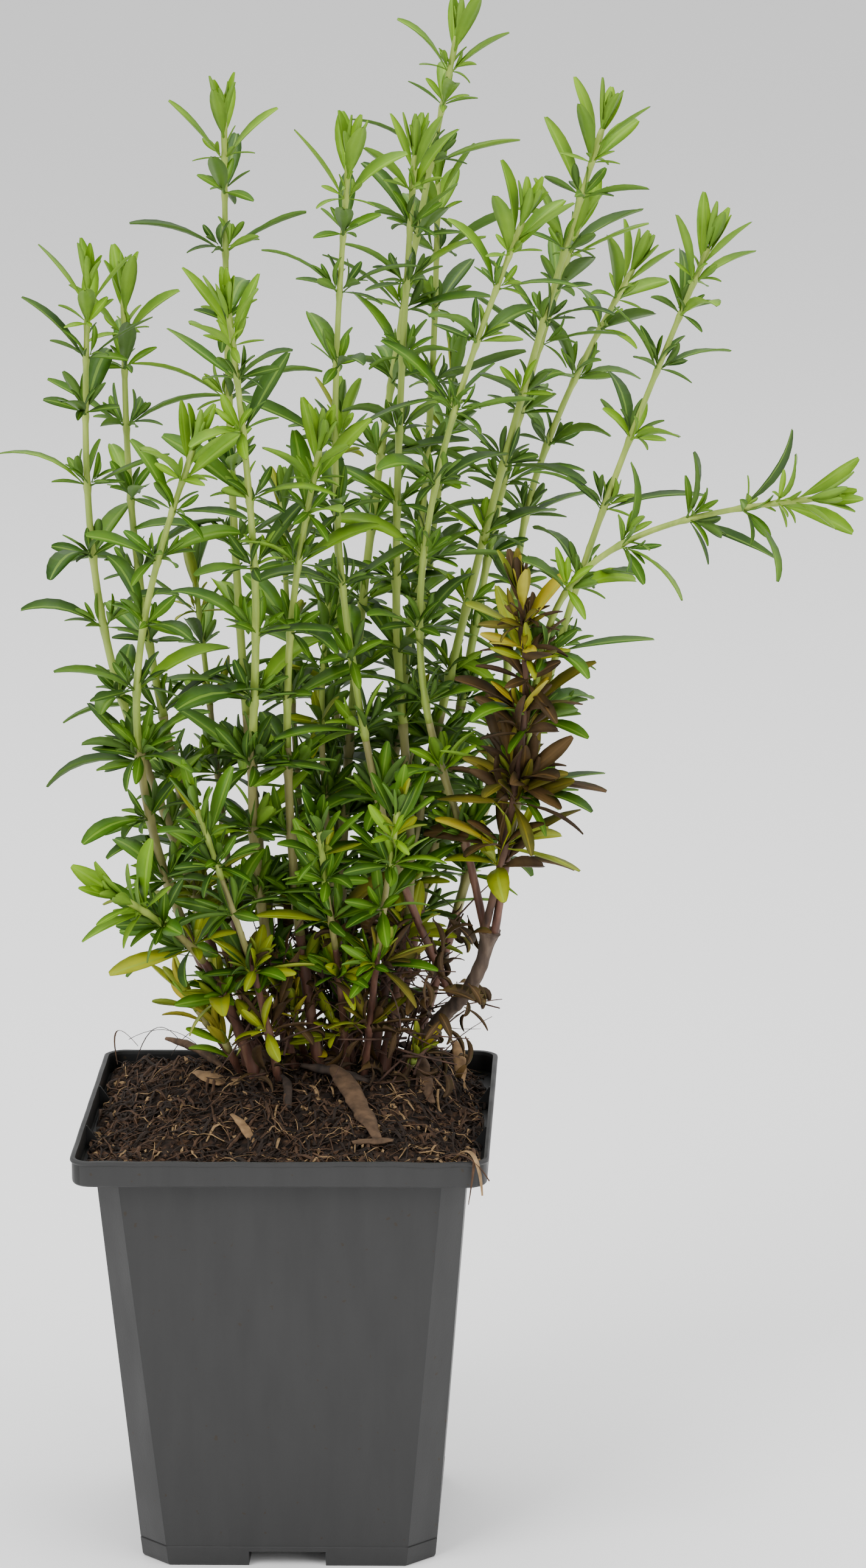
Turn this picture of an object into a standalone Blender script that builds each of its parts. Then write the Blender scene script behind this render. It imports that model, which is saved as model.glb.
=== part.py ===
"""A potted roseus hyssop: a square nursery pot, its soil, woody stems and narrow-leaved shoots.

The origin is the middle of the pot's underside, +Z is up and -Y is the front of the pot.
Lengths in the tables below are millimetres; MM turns them into metres.
"""
import math
import random
from collections import namedtuple

import bmesh
import bpy
from mathutils import Vector
from mathutils.bvhtree import BVHTree

MM = 0.001
GAP = 0.3 * MM
WELD = 0.0005 * MM
SEED = 11

# Pot: a thin tapered tub with cut corners, and a wide band under its rim
POT_HEIGHT = 97 * MM
RIM_HALF = 45 * MM
RIM_CORNER = 4.6 * MM
BAND_HEIGHT = 6.3 * MM
BAND_EDGE = 0.5 * MM
BODY_TOP_HALF = 40.3 * MM
BODY_BASE_HALF = 32.5 * MM
CORNER_TOP = 5.2 * MM
CORNER_BASE = 6.2 * MM
BASE_EDGE = 0.6 * MM
WALL = 0.8 * MM
FLOOR = 1.2 * MM
CORNER_STEPS = 3
RIB_PLACE = 15.8 * MM
RIB_THICK = 0.6 * MM
RIB_REACH = 3.0 * MM
RIB_SINK = 0.3 * MM

# Notches under the middle of each side, with a drain slot in each one's roof
NOTCH_WIDTH = 17 * MM
NOTCH_HEIGHT = 3.4 * MM
NOTCH_DEPTH = 11 * MM
SLOT_LENGTH = 9 * MM
SLOT_WIDTH = 3 * MM

# Soil: level at the walls, with a flat-topped mound under the stems
SOIL_WALL_LEVEL = 91.6 * MM
MOUND_TOP = 100 * MM
MOUND_CENTRE = Vector((6, 19)) * MM
MOUND_REACH = Vector((23, 14)) * MM
SOIL_SIDE_STEPS = 4
SOIL_RINGS = 3
SOIL_LUMP = 0.7 * MM
BACK_LEFT_RISE = 2.5 * MM

# Stems and leaves; spreads and strays are degrees, and the arch and width are shares of length
FOOT_RADIUS = 1.15 * MM
BOUGH_RADIUS = 0.85 * MM
SMALL_RADIUS = 0.8 * MM
TIP_RADIUS = 0.5 * MM
FLARE = 0.6 * MM
FLARE_FADE = 3 * MM
BRANCH_RADIUS = 1.8 * MM
BRANCH_END_RADIUS = 1.5 * MM
KNOT_RADIUS = 2.6 * MM
KNOT_FADE = 2 * MM
LIMB_SIDES = 6
SHOOT_SIDES = 3
LIMB_RING_EVERY = 7 * MM
BRANCH_SIDES = 8
BRANCH_RING_EVERY = 4 * MM
SHOOT_RING_EVERY = 13 * MM
SHOOT_SWELL = 1.25
APEX_LEAF = 11.5 * MM
FULL_LEAF = 23 * MM
LEAF_WIDTH = 0.26
WIDEST_AT = 0.52
SIDE_LEAF = 10.5 * MM
SIDE_SPREAD = 42
SIDE_BELOW = 185
LEAF_THICK = 0.7 * MM
LEAF_ARCH = 0.04
LENGTH_STRAY = (0.86, 1.08)
ROOT_HALF = 0.2 * MM
ROOT_SINK = 0.12 * MM
SHOOT_END = 1.6 * MM
FIRST_INTERNODE = 2.2 * MM
INTERNODE_GROWTH = 1.5
INTERNODE_STEP = 1.1 * MM
LONGEST_INTERNODE = 16.5 * MM
TOP_SPREAD = 8
LOW_SPREAD = 72
LEAN_STRAY = 9
BEARING_STRAY = 14
LEAF_CLEAR = 0.35 * MM
LOWEST_LEAF = 3 * MM

# Leaves near the tip are young over about this many pairs, and leaves near the soil start
# at this share of their length and reach all of it over this rise in millimetres
YOUNG_PAIRS = 2.2
LOW_LEAF_SHARE = 0.5
LOW_LEAF_RISE = 90

# Each shoot: where its stem starts, two points that it passes, and the tip of its top leaves;
# then how high its bare foot reaches, and the turn of its first leaf pair
Shoot = namedtuple("Shoot", "name start low mid tip bare_to turn")
Stretch = namedtuple("Stretch", "shoot line start end foot_radius colour")
TOP = MOUND_TOP / MM

# Shoots that rise from the soil on a stem of their own
STEMMED = (
    Shoot("far_left", (-10, 18, TOP), (-23, 16, 144), (-39, 10, 196), (-40, -5, 291), 121, 80),
    Shoot("left", (-7, 24, TOP), (-24, 24, 157), (-34, 21, 219), (-35, 18, 286), 124, 20),
    Shoot("left_bent", (-6, 13, TOP), (-24, 9, 136), (-32, -5, 182), (-13, -31, 259), 117, 45),
    Shoot("left_low", (-8, 9, TOP), (-19, -1, 130), (-30, -17, 145), (-41, -30, 155), 113, 10),
    Shoot("tall_left", (-2, 28, TOP), (-8, 27, 150), (-12, 25, 215), (-13, 25, 324), 128, 5),
    Shoot("front_left", (0, 15, TOP), (-7, 5, 148), (-5, -17, 221), (-9, -41, 290), 118, 60),
    Shoot("middle_low", (6, 12, TOP), (1, 6, 150), (2, -7, 206), (12, -23, 258), 116, 30),
    Shoot("tallest", (9, 24, TOP), (12, 28, 165), (21, 32, 243), (40, 38, 341), 128, 15),
    Shoot("behind", (13, 30, TOP), (22, 34, 165), (31, 41, 247), (33, 48, 308), 130, 70),
    Shoot("middle_right", (20, 15, TOP), (26, 17, 138), (24, 16, 205), (30, 12, 318), 120, 35),
    Shoot("right_tall", (17, 23, TOP), (30, 27, 165), (45, 25, 227), (73, 22, 322), 129, 50),
    Shoot("right_behind", (21, 27, TOP), (35, 36, 167), (50, 43, 241), (68, 50, 298), 126, 0),
    Shoot("right_thin", (26, 25, TOP), (45, 40, 166), (54, 52, 228), (82, 68, 284), 122, 40),
)

# The old woody branch on the right: three shoots and a dead one rise from the knot at its end,
# and one more from its side
BRANCH = Shoot("branch", (25, 20, TOP), (33, 15, 112), (41, 9, 123), (44.5, 6, 135), 135, 0)
FROM_KNOT = (
    Shoot("right", (43.3, 7.2, 135), (40, 5, 152), (31, 3, 186), (57, -8, 305), 152, 65),
    Shoot("far_right", (45.7, 7.2, 135), (49, 4.5, 155), (60, 3, 200), (97, 2, 298), 152, 25),
    Shoot("spreading", (45.7, 4.8, 135), (52, -3, 172), (62, -11, 215), (125, -33, 240), 150, 45),
)
FROM_SIDE = (
    Shoot("middle", (35.6, 12.1, 118.7), (26, 6, 144), (14, -1, 205), (17, -12, 319), 138, 10),
)
DEAD = (
    Shoot("dead", (43.3, 4.8, 135), (48, -2, 156), (53, -10, 194), (51, -18, 226), 148, 30),
)

# Small shoots and low tufts that are leafy from the soil up
SMALL = (
    Shoot("small_back_left", (-11, 27, TOP), (-15, 32, 140), (-20, 39, 185), (-24, 45, 219), TOP, 0),
    Shoot("small_back_middle", (3, 30, TOP), (1, 38, 145), (-2, 48, 195), (-4, 58, 234), TOP, 30),
    Shoot("small_back", (8, 31, TOP), (9, 40, 150), (9, 52, 205), (10, 63, 252), TOP, 60),
    Shoot("small_back_right", (18, 30.5, TOP), (24, 42, 150), (30, 54, 208), (37, 67, 263), TOP, 15),
    Shoot("small_middle", (13, 20, TOP), (9, 20, 140), (7, 20, 182), (10, 20, 218), TOP, 75),
    Shoot("small_front_left", (-3, 7, TOP), (-7, -2, 125), (-14, -13, 153), (-21, -22, 179), TOP, 40),
    Shoot("small_front", (12, 14, TOP), (11, 4, 125), (9, -10, 150), (8, -25, 173), TOP, 20),
    Shoot("small_front_right", (16, 10, TOP), (19, 2, 125), (23, -11, 153), (27, -24, 178), TOP, 55),
)
TUFTS = (
    Shoot("tuft_left", (-12, 13, TOP), (-15, 10, 108), (-18, 8, 115), (-21, 6, 121), TOP, 0),
    Shoot("tuft_far_left", (-14, 24, TOP), (-20, 25, 108), (-26, 27, 116), (-33, 28, 123), TOP, 30),
    Shoot("tuft_back", (-5, 31, TOP), (-8, 36, 108), (-10, 41, 116), (-12, 46, 123), TOP, 60),
    Shoot("tuft_middle", (3, 19, TOP), (1, 14, 110), (0, 8, 119), (-1, 3, 126), TOP, 45),
    Shoot("tuft_right", (25, 13, TOP), (27, 10, 104), (29, 7, 109), (31, 4, 114), TOP, 15),
)
COLOURS = {
    "pot": (0.055, 0.055, 0.053, 1),
    "soil": (0.028, 0.017, 0.010, 1),
    "wood": (0.16, 0.095, 0.06, 1),
    "fresh": (0.12, 0.33, 0.03, 1),
    "leaf": (0.06, 0.21, 0.03, 1),
    "tuft": (0.24, 0.29, 0.03, 1),
    "dead": (0.10, 0.055, 0.015, 1),
}


def material(name, colour, roughness):
    """A plain Principled surface of one colour."""
    made = bpy.data.materials.new(name)
    made.use_nodes = True
    shader = made.node_tree.nodes["Principled BSDF"]
    shader.inputs["Base Color"].default_value = COLOURS[colour]
    shader.inputs["Roughness"].default_value = roughness
    shader.inputs["Metallic"].default_value = 0.0
    made.diffuse_color = COLOURS[colour]
    return made


def add_object(name, mesh, surface=None):
    """Links a new object for the mesh, with its own material."""
    made = bpy.data.objects.new(name, mesh)
    if surface:
        mesh.materials.append(surface)
    bpy.context.scene.collection.objects.link(made)
    return made


def mesh_from(name, points, faces):
    """A mesh with all its faces turned outward."""
    mesh = bpy.data.meshes.new(name)
    mesh.from_pydata(points, [], faces)
    shape = bmesh.new()
    shape.from_mesh(mesh)
    bmesh.ops.recalc_face_normals(shape, faces=shape.faces)
    shape.to_mesh(mesh)
    shape.free()
    return mesh


def loft(name, rings):
    """Skins a stack of rings that have equal numbers of points, and caps both ends."""
    count = len(rings[0])
    points = [point for ring in rings for point in ring]
    faces = []
    for level in range(len(rings) - 1):
        here = level * count
        above = here + count
        for step in range(count):
            after = (step + 1) % count
            faces.append((here + step, here + after, above + after, above + step))
    faces.append(tuple(reversed(range(count))))
    faces.append(tuple(range(len(points) - count, len(points))))
    return mesh_from(name, points, faces)


def apply_boolean(target, operation, tools):
    """Joins or cuts the target with every tool object at once, then removes the tools."""
    group = bpy.data.collections.new("tools")
    bpy.context.scene.collection.children.link(group)
    for tool in tools:
        bpy.context.scene.collection.objects.unlink(tool)
        group.objects.link(tool)
    cut = target.modifiers.new(operation.lower(), "BOOLEAN")
    cut.operation = operation
    cut.operand_type = "COLLECTION"
    cut.collection = group
    cut.solver = "EXACT"
    bpy.context.view_layer.objects.active = target
    bpy.ops.object.modifier_apply(modifier=cut.name)
    for tool in tools:
        bpy.data.objects.remove(tool)
    bpy.data.collections.remove(group)


def box(name, low, high):
    """A plain box between two corners."""
    points = [(x, y, z) for z in (low[2], high[2]) for y in (low[1], high[1]) for x in (low[0], high[0])]
    faces = [(0, 2, 3, 1), (4, 5, 7, 6), (0, 1, 5, 4), (2, 6, 7, 3), (0, 4, 6, 2), (1, 3, 7, 5)]
    return add_object(name, mesh_from(name, points, faces))


def keep_main_body(target):
    """Keeps the largest connected shell, triangulated, and drops scraps and sealed hollows."""
    shape = bmesh.new()
    shape.from_mesh(target.data)
    bmesh.ops.remove_doubles(shape, verts=shape.verts, dist=WELD)
    bmesh.ops.dissolve_degenerate(shape, edges=shape.edges, dist=WELD)
    bmesh.ops.triangulate(shape, faces=shape.faces)
    unseen = set(shape.verts)
    shells = []
    while unseen:
        queue = [unseen.pop()]
        shell = set(queue)
        while queue:
            for edge in queue.pop().link_edges:
                for vert in edge.verts:
                    if vert in unseen:
                        unseen.discard(vert)
                        shell.add(vert)
                        queue.append(vert)
        shells.append(shell)
    largest = max(shells, key=len)
    scraps = [vert for vert in shape.verts if vert not in largest]
    bmesh.ops.delete(shape, geom=scraps, context="VERTS")
    bmesh.ops.recalc_face_normals(shape, faces=shape.faces)
    shape.to_mesh(target.data)
    shape.free()


# Pot and soil

def square_ring(half, corner, roundness, z, side_steps=1):
    """A square outline whose corners run from cut straight (roundness 0) to round (1)."""
    ring = []
    for quarter in range(4):
        angle = quarter * math.pi / 2
        along = Vector((math.cos(angle), math.sin(angle)))
        across = Vector((-along.y, along.x))
        for step in range(CORNER_STEPS + 1):
            share = step / CORNER_STEPS
            cut = along * (half - corner * share) + across * (half - corner * (1 - share))
            turn = share * math.pi / 2
            arc = (along + across) * (half - corner) + (along * math.cos(turn) + across * math.sin(turn)) * corner
            ring.append(cut.lerp(arc, roundness))
        side_start = ring[-1]
        side_end = -along * (half - corner) + across * half
        for step in range(1, side_steps):
            ring.append(side_start.lerp(side_end, step / side_steps))
    return [Vector((point.x, point.y, z)) for point in ring]


def body_half(z):
    """Half the width of the pot's outer body at a height."""
    share = z / (POT_HEIGHT - BAND_HEIGHT)
    return BODY_BASE_HALF + (BODY_TOP_HALF - BODY_BASE_HALF) * share


def side_boxes(name, z_low, z_high, half_width, inner, outer):
    """One box in the middle of each of the four sides, between two distances from the axis."""
    made = []
    for along_x in (True, False):
        for sign in (-1, 1):
            near, far = sorted((sign * inner, sign * outer))
            if along_x:
                low, high = (near, -half_width, z_low), (far, half_width, z_high)
            else:
                low, high = (-half_width, near, z_low), (half_width, far, z_high)
            made.append(box(name, low, high))
    return made


def rim_rib(side, place):
    """A thin gusset between the band's inside and its ledge, on one side of the pot."""
    ledge = POT_HEIGHT - BAND_HEIGHT + WALL
    wall = RIM_HALF - WALL
    profile = (
        (wall + RIB_SINK, ledge - RIB_SINK),
        (wall + RIB_SINK, POT_HEIGHT - WALL),
        (wall - RIB_SINK, POT_HEIGHT - WALL),
        (wall - RIB_REACH, ledge + WALL),
        (wall - RIB_REACH, ledge - RIB_SINK),
    )
    outward = Vector((math.cos(side), math.sin(side), 0))
    across = Vector((-outward.y, outward.x, 0))
    rings = []
    for edge in (-RIB_THICK / 2, RIB_THICK / 2):
        rings.append([outward * out + across * (place + edge) + Vector((0, 0, z)) for out, z in profile])
    return add_object("rib", loft("rib", rings))


def build_pot():
    """The pot as one thin tub, with notches, drain slots and ribs."""
    band = POT_HEIGHT - BAND_HEIGHT
    inside = BODY_BASE_HALF - WALL
    rings = [
        square_ring(BODY_BASE_HALF - BASE_EDGE / 2, CORNER_BASE, 0, 0),
        square_ring(body_half(BASE_EDGE), CORNER_BASE, 0, BASE_EDGE),
        square_ring(BODY_TOP_HALF, CORNER_TOP, 0, band),
        square_ring(RIM_HALF - BAND_EDGE, RIM_CORNER - BAND_EDGE, 1, band),
        square_ring(RIM_HALF, RIM_CORNER, 1, band + BAND_EDGE),
        square_ring(RIM_HALF, RIM_CORNER, 1, POT_HEIGHT),
        square_ring(RIM_HALF - WALL, RIM_CORNER - WALL, 1, POT_HEIGHT),
        square_ring(RIM_HALF - WALL, RIM_CORNER - WALL, 1, band + WALL),
        square_ring(BODY_TOP_HALF - WALL, CORNER_TOP, 0, band + WALL),
        square_ring(inside, CORNER_BASE, 0, FLOOR),
    ]
    pot = add_object("pot", loft("pot", rings), material("pot plastic", "pot", 0.5))
    outer = body_half(NOTCH_HEIGHT)
    depth = outer - NOTCH_DEPTH
    housings = side_boxes(
        "housing", FLOOR / 2, NOTCH_HEIGHT + WALL, NOTCH_WIDTH / 2 + WALL, depth - WALL, inside + WALL / 2
    )
    ribs = [
        rim_rib(quarter * math.pi / 2, place)
        for quarter in range(4)
        for place in (-RIB_PLACE, RIB_PLACE)
    ]
    apply_boolean(pot, "UNION", housings + ribs)
    notches = side_boxes("notch", -FLOOR, NOTCH_HEIGHT, NOTCH_WIDTH / 2, depth, outer + WALL)
    middle = (outer + depth) / 2
    slots = side_boxes(
        "slot", NOTCH_HEIGHT / 2, NOTCH_HEIGHT + 2 * WALL, SLOT_LENGTH / 2,
        middle - SLOT_WIDTH / 2, middle + SLOT_WIDTH / 2,
    )
    apply_boolean(pot, "DIFFERENCE", notches + slots)
    keep_main_body(pot)
    return pot


def soil_level(point, share):
    """Height of the soil between the wall (share 0) and the mound's edge (share 1)."""
    eased = share * share * (3 - 2 * share)
    back_left = max(0.0, (point.y - point.x) / (2 * BODY_TOP_HALF)) * BACK_LEFT_RISE
    return SOIL_WALL_LEVEL + back_left * (1 - eased) + (MOUND_TOP - SOIL_WALL_LEVEL) * eased


def mound_edge(edge):
    """The point of the mound's oval rim that faces a point at the wall."""
    out = edge.xy - MOUND_CENTRE
    bearing = math.atan2(out.y / MOUND_REACH.y, out.x / MOUND_REACH.x)
    return MOUND_CENTRE + Vector((MOUND_REACH.x * math.cos(bearing), MOUND_REACH.y * math.sin(bearing)))


def build_soil():
    """The block of soil that fills the pot, with a lumpy top and a flat mound under the stems."""
    rng = random.Random(SEED)
    band = POT_HEIGHT - BAND_HEIGHT
    clear = WALL + GAP
    base = square_ring(body_half(FLOOR) - clear, CORNER_BASE, 0, FLOOR + GAP, SOIL_SIDE_STEPS)
    shoulder = square_ring(body_half(band) - clear, CORNER_TOP, 0, SOIL_WALL_LEVEL - WALL, SOIL_SIDE_STEPS)
    rings = [base, shoulder]
    for number in range(SOIL_RINGS):
        share = number / SOIL_RINGS
        ring = []
        for edge in shoulder:
            point = edge.xy.lerp(mound_edge(edge), share)
            lump = rng.uniform(-SOIL_LUMP, SOIL_LUMP) if number else 0.0
            ring.append(Vector((point.x, point.y, soil_level(point, share) + lump)))
        rings.append(ring)
    rings.append([Vector((*mound_edge(edge), MOUND_TOP)) for edge in shoulder])
    soil = add_object("soil", loft("soil", rings), material("peat soil", "soil", 0.95))
    outer = body_half(NOTCH_HEIGHT)
    room = side_boxes(
        "room", 0.0, NOTCH_HEIGHT + WALL + GAP, NOTCH_WIDTH / 2 + clear, outer - NOTCH_DEPTH - clear, outer
    )
    apply_boolean(soil, "DIFFERENCE", room)
    keep_main_body(soil)
    return soil


# Stems

class StemLine:
    """A smooth curve through a shoot's four guide points, measured along its length."""

    STEPS = 24

    def __init__(self, shoot):
        guides = [Vector(point) * MM for point in (shoot.start, shoot.low, shoot.mid, shoot.tip)]
        spans = [(guides[i + 1] - guides[i]).length for i in range(3)]
        slopes = [(guides[i + 1] - guides[i]) / spans[i] for i in range(3)]
        inner = [
            (slopes[i] * spans[i + 1] + slopes[i + 1] * spans[i]) / (spans[i] + spans[i + 1])
            for i in range(2)
        ]
        tangents = [slopes[0] * 1.5 - inner[0] * 0.5] + inner + [slopes[2] * 1.5 - inner[1] * 0.5]
        self.points = [guides[0]]
        for i in range(3):
            for step in range(1, self.STEPS + 1):
                t = step / self.STEPS
                self.points.append(
                    guides[i] * (2 * t**3 - 3 * t**2 + 1)
                    + tangents[i] * spans[i] * (t**3 - 2 * t**2 + t)
                    + guides[i + 1] * (3 * t**2 - 2 * t**3)
                    + tangents[i + 1] * spans[i] * (t**3 - t**2)
                )
        self.marks = [0.0]
        for here, after in zip(self.points, self.points[1:]):
            self.marks.append(self.marks[-1] + (after - here).length)
        self.length = self.marks[-1]

    def at(self, distance):
        """The point and direction at a distance along the curve."""
        distance = min(max(distance, 0.0), self.length)
        last = len(self.marks) - 2
        index = next((i for i in range(last + 1) if self.marks[i + 1] >= distance), last)
        here, after = self.points[index], self.points[index + 1]
        share = (distance - self.marks[index]) / (self.marks[index + 1] - self.marks[index])
        return here.lerp(after, share), (after - here).normalized()

    def at_height(self, z):
        """The distance at which the curve first reaches a height."""
        return next((mark for mark, point in zip(self.marks, self.points) if point.z >= z), self.length)


def side_vectors(direction):
    """Two directions square to a stem, the first one as near +X as it can be."""
    across = Vector((0, 1, 0))
    first = across.cross(direction).normalized()
    return first, direction.cross(first)


def stem_radius(line, distance, foot_radius, flare=0.0):
    """A stem's radius: it tapers to the tip, with a flare that fades above the foot."""
    taper = foot_radius + (TIP_RADIUS - foot_radius) * distance / line.length
    return taper + flare * math.exp(-distance / FLARE_FADE)


def branch_radius(line, distance):
    """The old branch's radius: it flares at the foot and swells to a knot at its end."""
    taper = BRANCH_RADIUS + (BRANCH_END_RADIUS - BRANCH_RADIUS) * distance / line.length
    knot = (KNOT_RADIUS - BRANCH_END_RADIUS) * math.exp((distance - line.length) / KNOT_FADE)
    return taper + FLARE * math.exp(-distance / FLARE_FADE) + knot


def stem_rings(line, start, end, every, sides, radius_at, level_foot=False, level_end=False):
    """Rings of points around a stretch of the stem; a level one lies flat."""
    count = max(1, round((end - start) / every))
    rings = []
    for number in range(count + 1):
        distance = start + (end - start) * number / count
        centre, direction = line.at(distance)
        if (level_foot and number == 0) or (level_end and number == count):
            direction = Vector((0, 0, 1))
        first, second = side_vectors(direction)
        radius = radius_at(distance)
        ring = []
        for side in range(sides):
            turn = 2 * math.pi * side / sides
            ring.append(centre + (first * math.cos(turn) + second * math.sin(turn)) * radius)
        rings.append(ring)
    return rings


def build_branch():
    """The old woody branch, cut level at the soil and at its knot."""
    line = StemLine(BRANCH)
    rings = stem_rings(
        line, GAP, line.length, BRANCH_RING_EVERY, BRANCH_SIDES,
        lambda distance: branch_radius(line, distance), level_foot=True, level_end=True,
    )
    return add_object("branch", loft("branch", rings), material("branch bark", "wood", 0.85))


def build_stem(shoot, line, end, foot_radius, flare):
    """A tapering woody stem from its foot to where its leaves begin."""
    rings = stem_rings(
        line, GAP, end, LIMB_RING_EVERY, LIMB_SIDES,
        lambda distance: stem_radius(line, distance, foot_radius, flare),
        level_foot=shoot not in FROM_SIDE,
    )
    name = "stem_" + shoot.name
    return add_object(name, loft(name, rings), material(name + " bark", "wood", 0.8))


# Leaves

def leaf_mesh(root, direction, upward, length, width, thick, arch):
    """A leaf as eight faces: an upright edge at the root, a flat top, a keel below and a pointed tip."""
    side = direction.cross(upward).normalized()
    middle = root + direction * length * WIDEST_AT + upward * arch
    points = [
        root + upward * ROOT_HALF,
        root - upward * ROOT_HALF,
        middle + side * width / 2,
        middle - side * width / 2,
        middle - upward * thick,
        root + direction * length,
    ]
    faces = [(0, 3, 2), (2, 3, 5), (1, 4, 2), (1, 3, 4), (0, 2, 1), (0, 1, 3), (2, 5, 4), (3, 4, 5)]
    return points, faces


def leaf_pairs(line, start, end, turn, rng):
    """Crossed pairs of leaves from the tip of a shoot down: short and upright first, then long and spread."""
    distance = end - SHOOT_END
    gap = FIRST_INTERNODE
    number = 0
    pairs = []
    while distance > start + LOWEST_LEAF:
        young = math.exp(-number / YOUNG_PAIRS)
        length = APEX_LEAF + (FULL_LEAF - APEX_LEAF) * (1 - young)
        spread = TOP_SPREAD + (LOW_SPREAD - TOP_SPREAD) * (1 - young)
        height = line.at(distance)[0].z / MM
        length *= min(1.0, LOW_LEAF_SHARE + max(0.0, height - TOP) / LOW_LEAF_RISE)
        bearing = turn + 90 * number + rng.uniform(-BEARING_STRAY, BEARING_STRAY)
        pairs.append((distance, length, spread, bearing))
        if height < SIDE_BELOW and number % 2:
            pairs.append((distance - ROOT_HALF, SIDE_LEAF, SIDE_SPREAD, bearing + 90))
        distance -= gap
        gap = min(gap * INTERNODE_GROWTH + INTERNODE_STEP, LONGEST_INTERNODE)
        number += 1
    return pairs


def candidate_leaves(line, start, end, turn, rng):
    """Root, direction, upward side and length of every leaf that the rule gives a shoot."""
    found = []
    for distance, length, spread, bearing in leaf_pairs(line, start, end, turn, rng):
        centre, along = line.at(distance)
        first, second = side_vectors(along)
        for half_turn in (0, 180):
            angle = math.radians(bearing + half_turn)
            outward = first * math.cos(angle) + second * math.sin(angle)
            lean = math.radians(spread + rng.uniform(-LEAN_STRAY, LEAN_STRAY))
            direction = along * math.cos(lean) + outward * math.sin(lean)
            upward = (along * math.sin(lean) - outward * math.cos(lean)).normalized()
            root = centre - direction * ROOT_SINK
            found.append((root, direction, upward, length * rng.uniform(*LENGTH_STRAY)))
    return found


def tree_of(points, faces):
    """A search tree of a small shape, with the sphere around it."""
    centre = sum(points, Vector()) / len(points)
    reach = max((point - centre).length for point in points)
    return BVHTree.FromPolygons(points, faces), centre, reach


def touches(shape, others):
    """Whether a shape meets any of the others."""
    tree, centre, reach = shape
    for other, middle, extent in others:
        if (centre - middle).length < reach + extent and tree.overlap(other):
            return True
    return False


def tree_of_object(thing):
    """The search tree of an object's mesh."""
    points = [vert.co.copy() for vert in thing.data.vertices]
    return tree_of(points, [tuple(face.vertices) for face in thing.data.polygons])


def leaf_solids(stretch, rng, strangers):
    """The leaves of one shoot that meet nothing of any other solid, and the room that each one keeps."""
    leaves = []
    rooms = []
    for root, direction, upward, length in candidate_leaves(
        stretch.line, stretch.start, stretch.end, stretch.shoot.turn, rng
    ):
        width = length * LEAF_WIDTH
        arch = length * LEAF_ARCH
        room = tree_of(*leaf_mesh(
            root - direction * LEAF_CLEAR, direction, upward, length + 3 * LEAF_CLEAR,
            width + 2 * LEAF_CLEAR, LEAF_THICK + 2 * LEAF_CLEAR, arch,
        ))
        if touches(room, strangers):
            continue
        rooms.append(room)
        points, faces = leaf_mesh(root, direction, upward, length, width, LEAF_THICK, arch)
        leaves.append(add_object("leaf", mesh_from("leaf", points, faces)))
    return leaves, rooms


def build_masses(stretches, solids):
    """Every leafy stem first, then the leaves of each in turn, fused to it."""
    stems = []
    for stretch in stretches:
        rings = stem_rings(
            stretch.line, stretch.start, stretch.end, SHOOT_RING_EVERY, SHOOT_SIDES,
            lambda distance: SHOOT_SWELL * stem_radius(stretch.line, distance, stretch.foot_radius),
            level_foot=stretch.start == GAP,
        )
        name = "shoot_" + stretch.shoot.name
        stems.append(add_object(name, loft(name, rings), material(name + " leaf", stretch.colour, 0.55)))
    stem_trees = [tree_of_object(stem) for stem in stems]
    taken = []
    for number, (stretch, stem) in enumerate(zip(stretches, stems)):
        strangers = solids + stem_trees[:number] + stem_trees[number + 1:] + taken
        leaves, rooms = leaf_solids(stretch, random.Random(SEED + number), strangers)
        taken += rooms
        apply_boolean(stem, "UNION", leaves)
        keep_main_body(stem)


def main():
    for thing in list(bpy.data.objects):
        bpy.data.objects.remove(thing)
    solids = [build_pot(), build_soil(), build_branch()]
    stretches = []
    for shoot in STEMMED + FROM_KNOT + FROM_SIDE + DEAD:
        line = StemLine(shoot)
        bare = line.at_height(shoot.bare_to * MM)
        radius, flare = (FOOT_RADIUS, FLARE) if shoot in STEMMED else (BOUGH_RADIUS, 0.0)
        solids.append(build_stem(shoot, line, bare, radius, flare))
        colour = "dead" if shoot in DEAD else "leaf"
        stretches.append(Stretch(shoot, line, bare + GAP, line.length - APEX_LEAF, radius, colour))
    for shoot in SMALL + TUFTS:
        line = StemLine(shoot)
        colour = "fresh" if shoot in SMALL else "tuft"
        stretches.append(Stretch(shoot, line, GAP, line.length - APEX_LEAF, SMALL_RADIUS, colour))
    build_masses(stretches, [tree_of_object(solid) for solid in solids])


main()
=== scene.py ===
"""Looks of the potted roseus hyssop: leaves, stems, bark, peat and pot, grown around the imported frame."""
import math
import random
from collections import namedtuple

import bmesh
import bpy
import numpy as np
from mathutils import Matrix, Vector, noise


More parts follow.
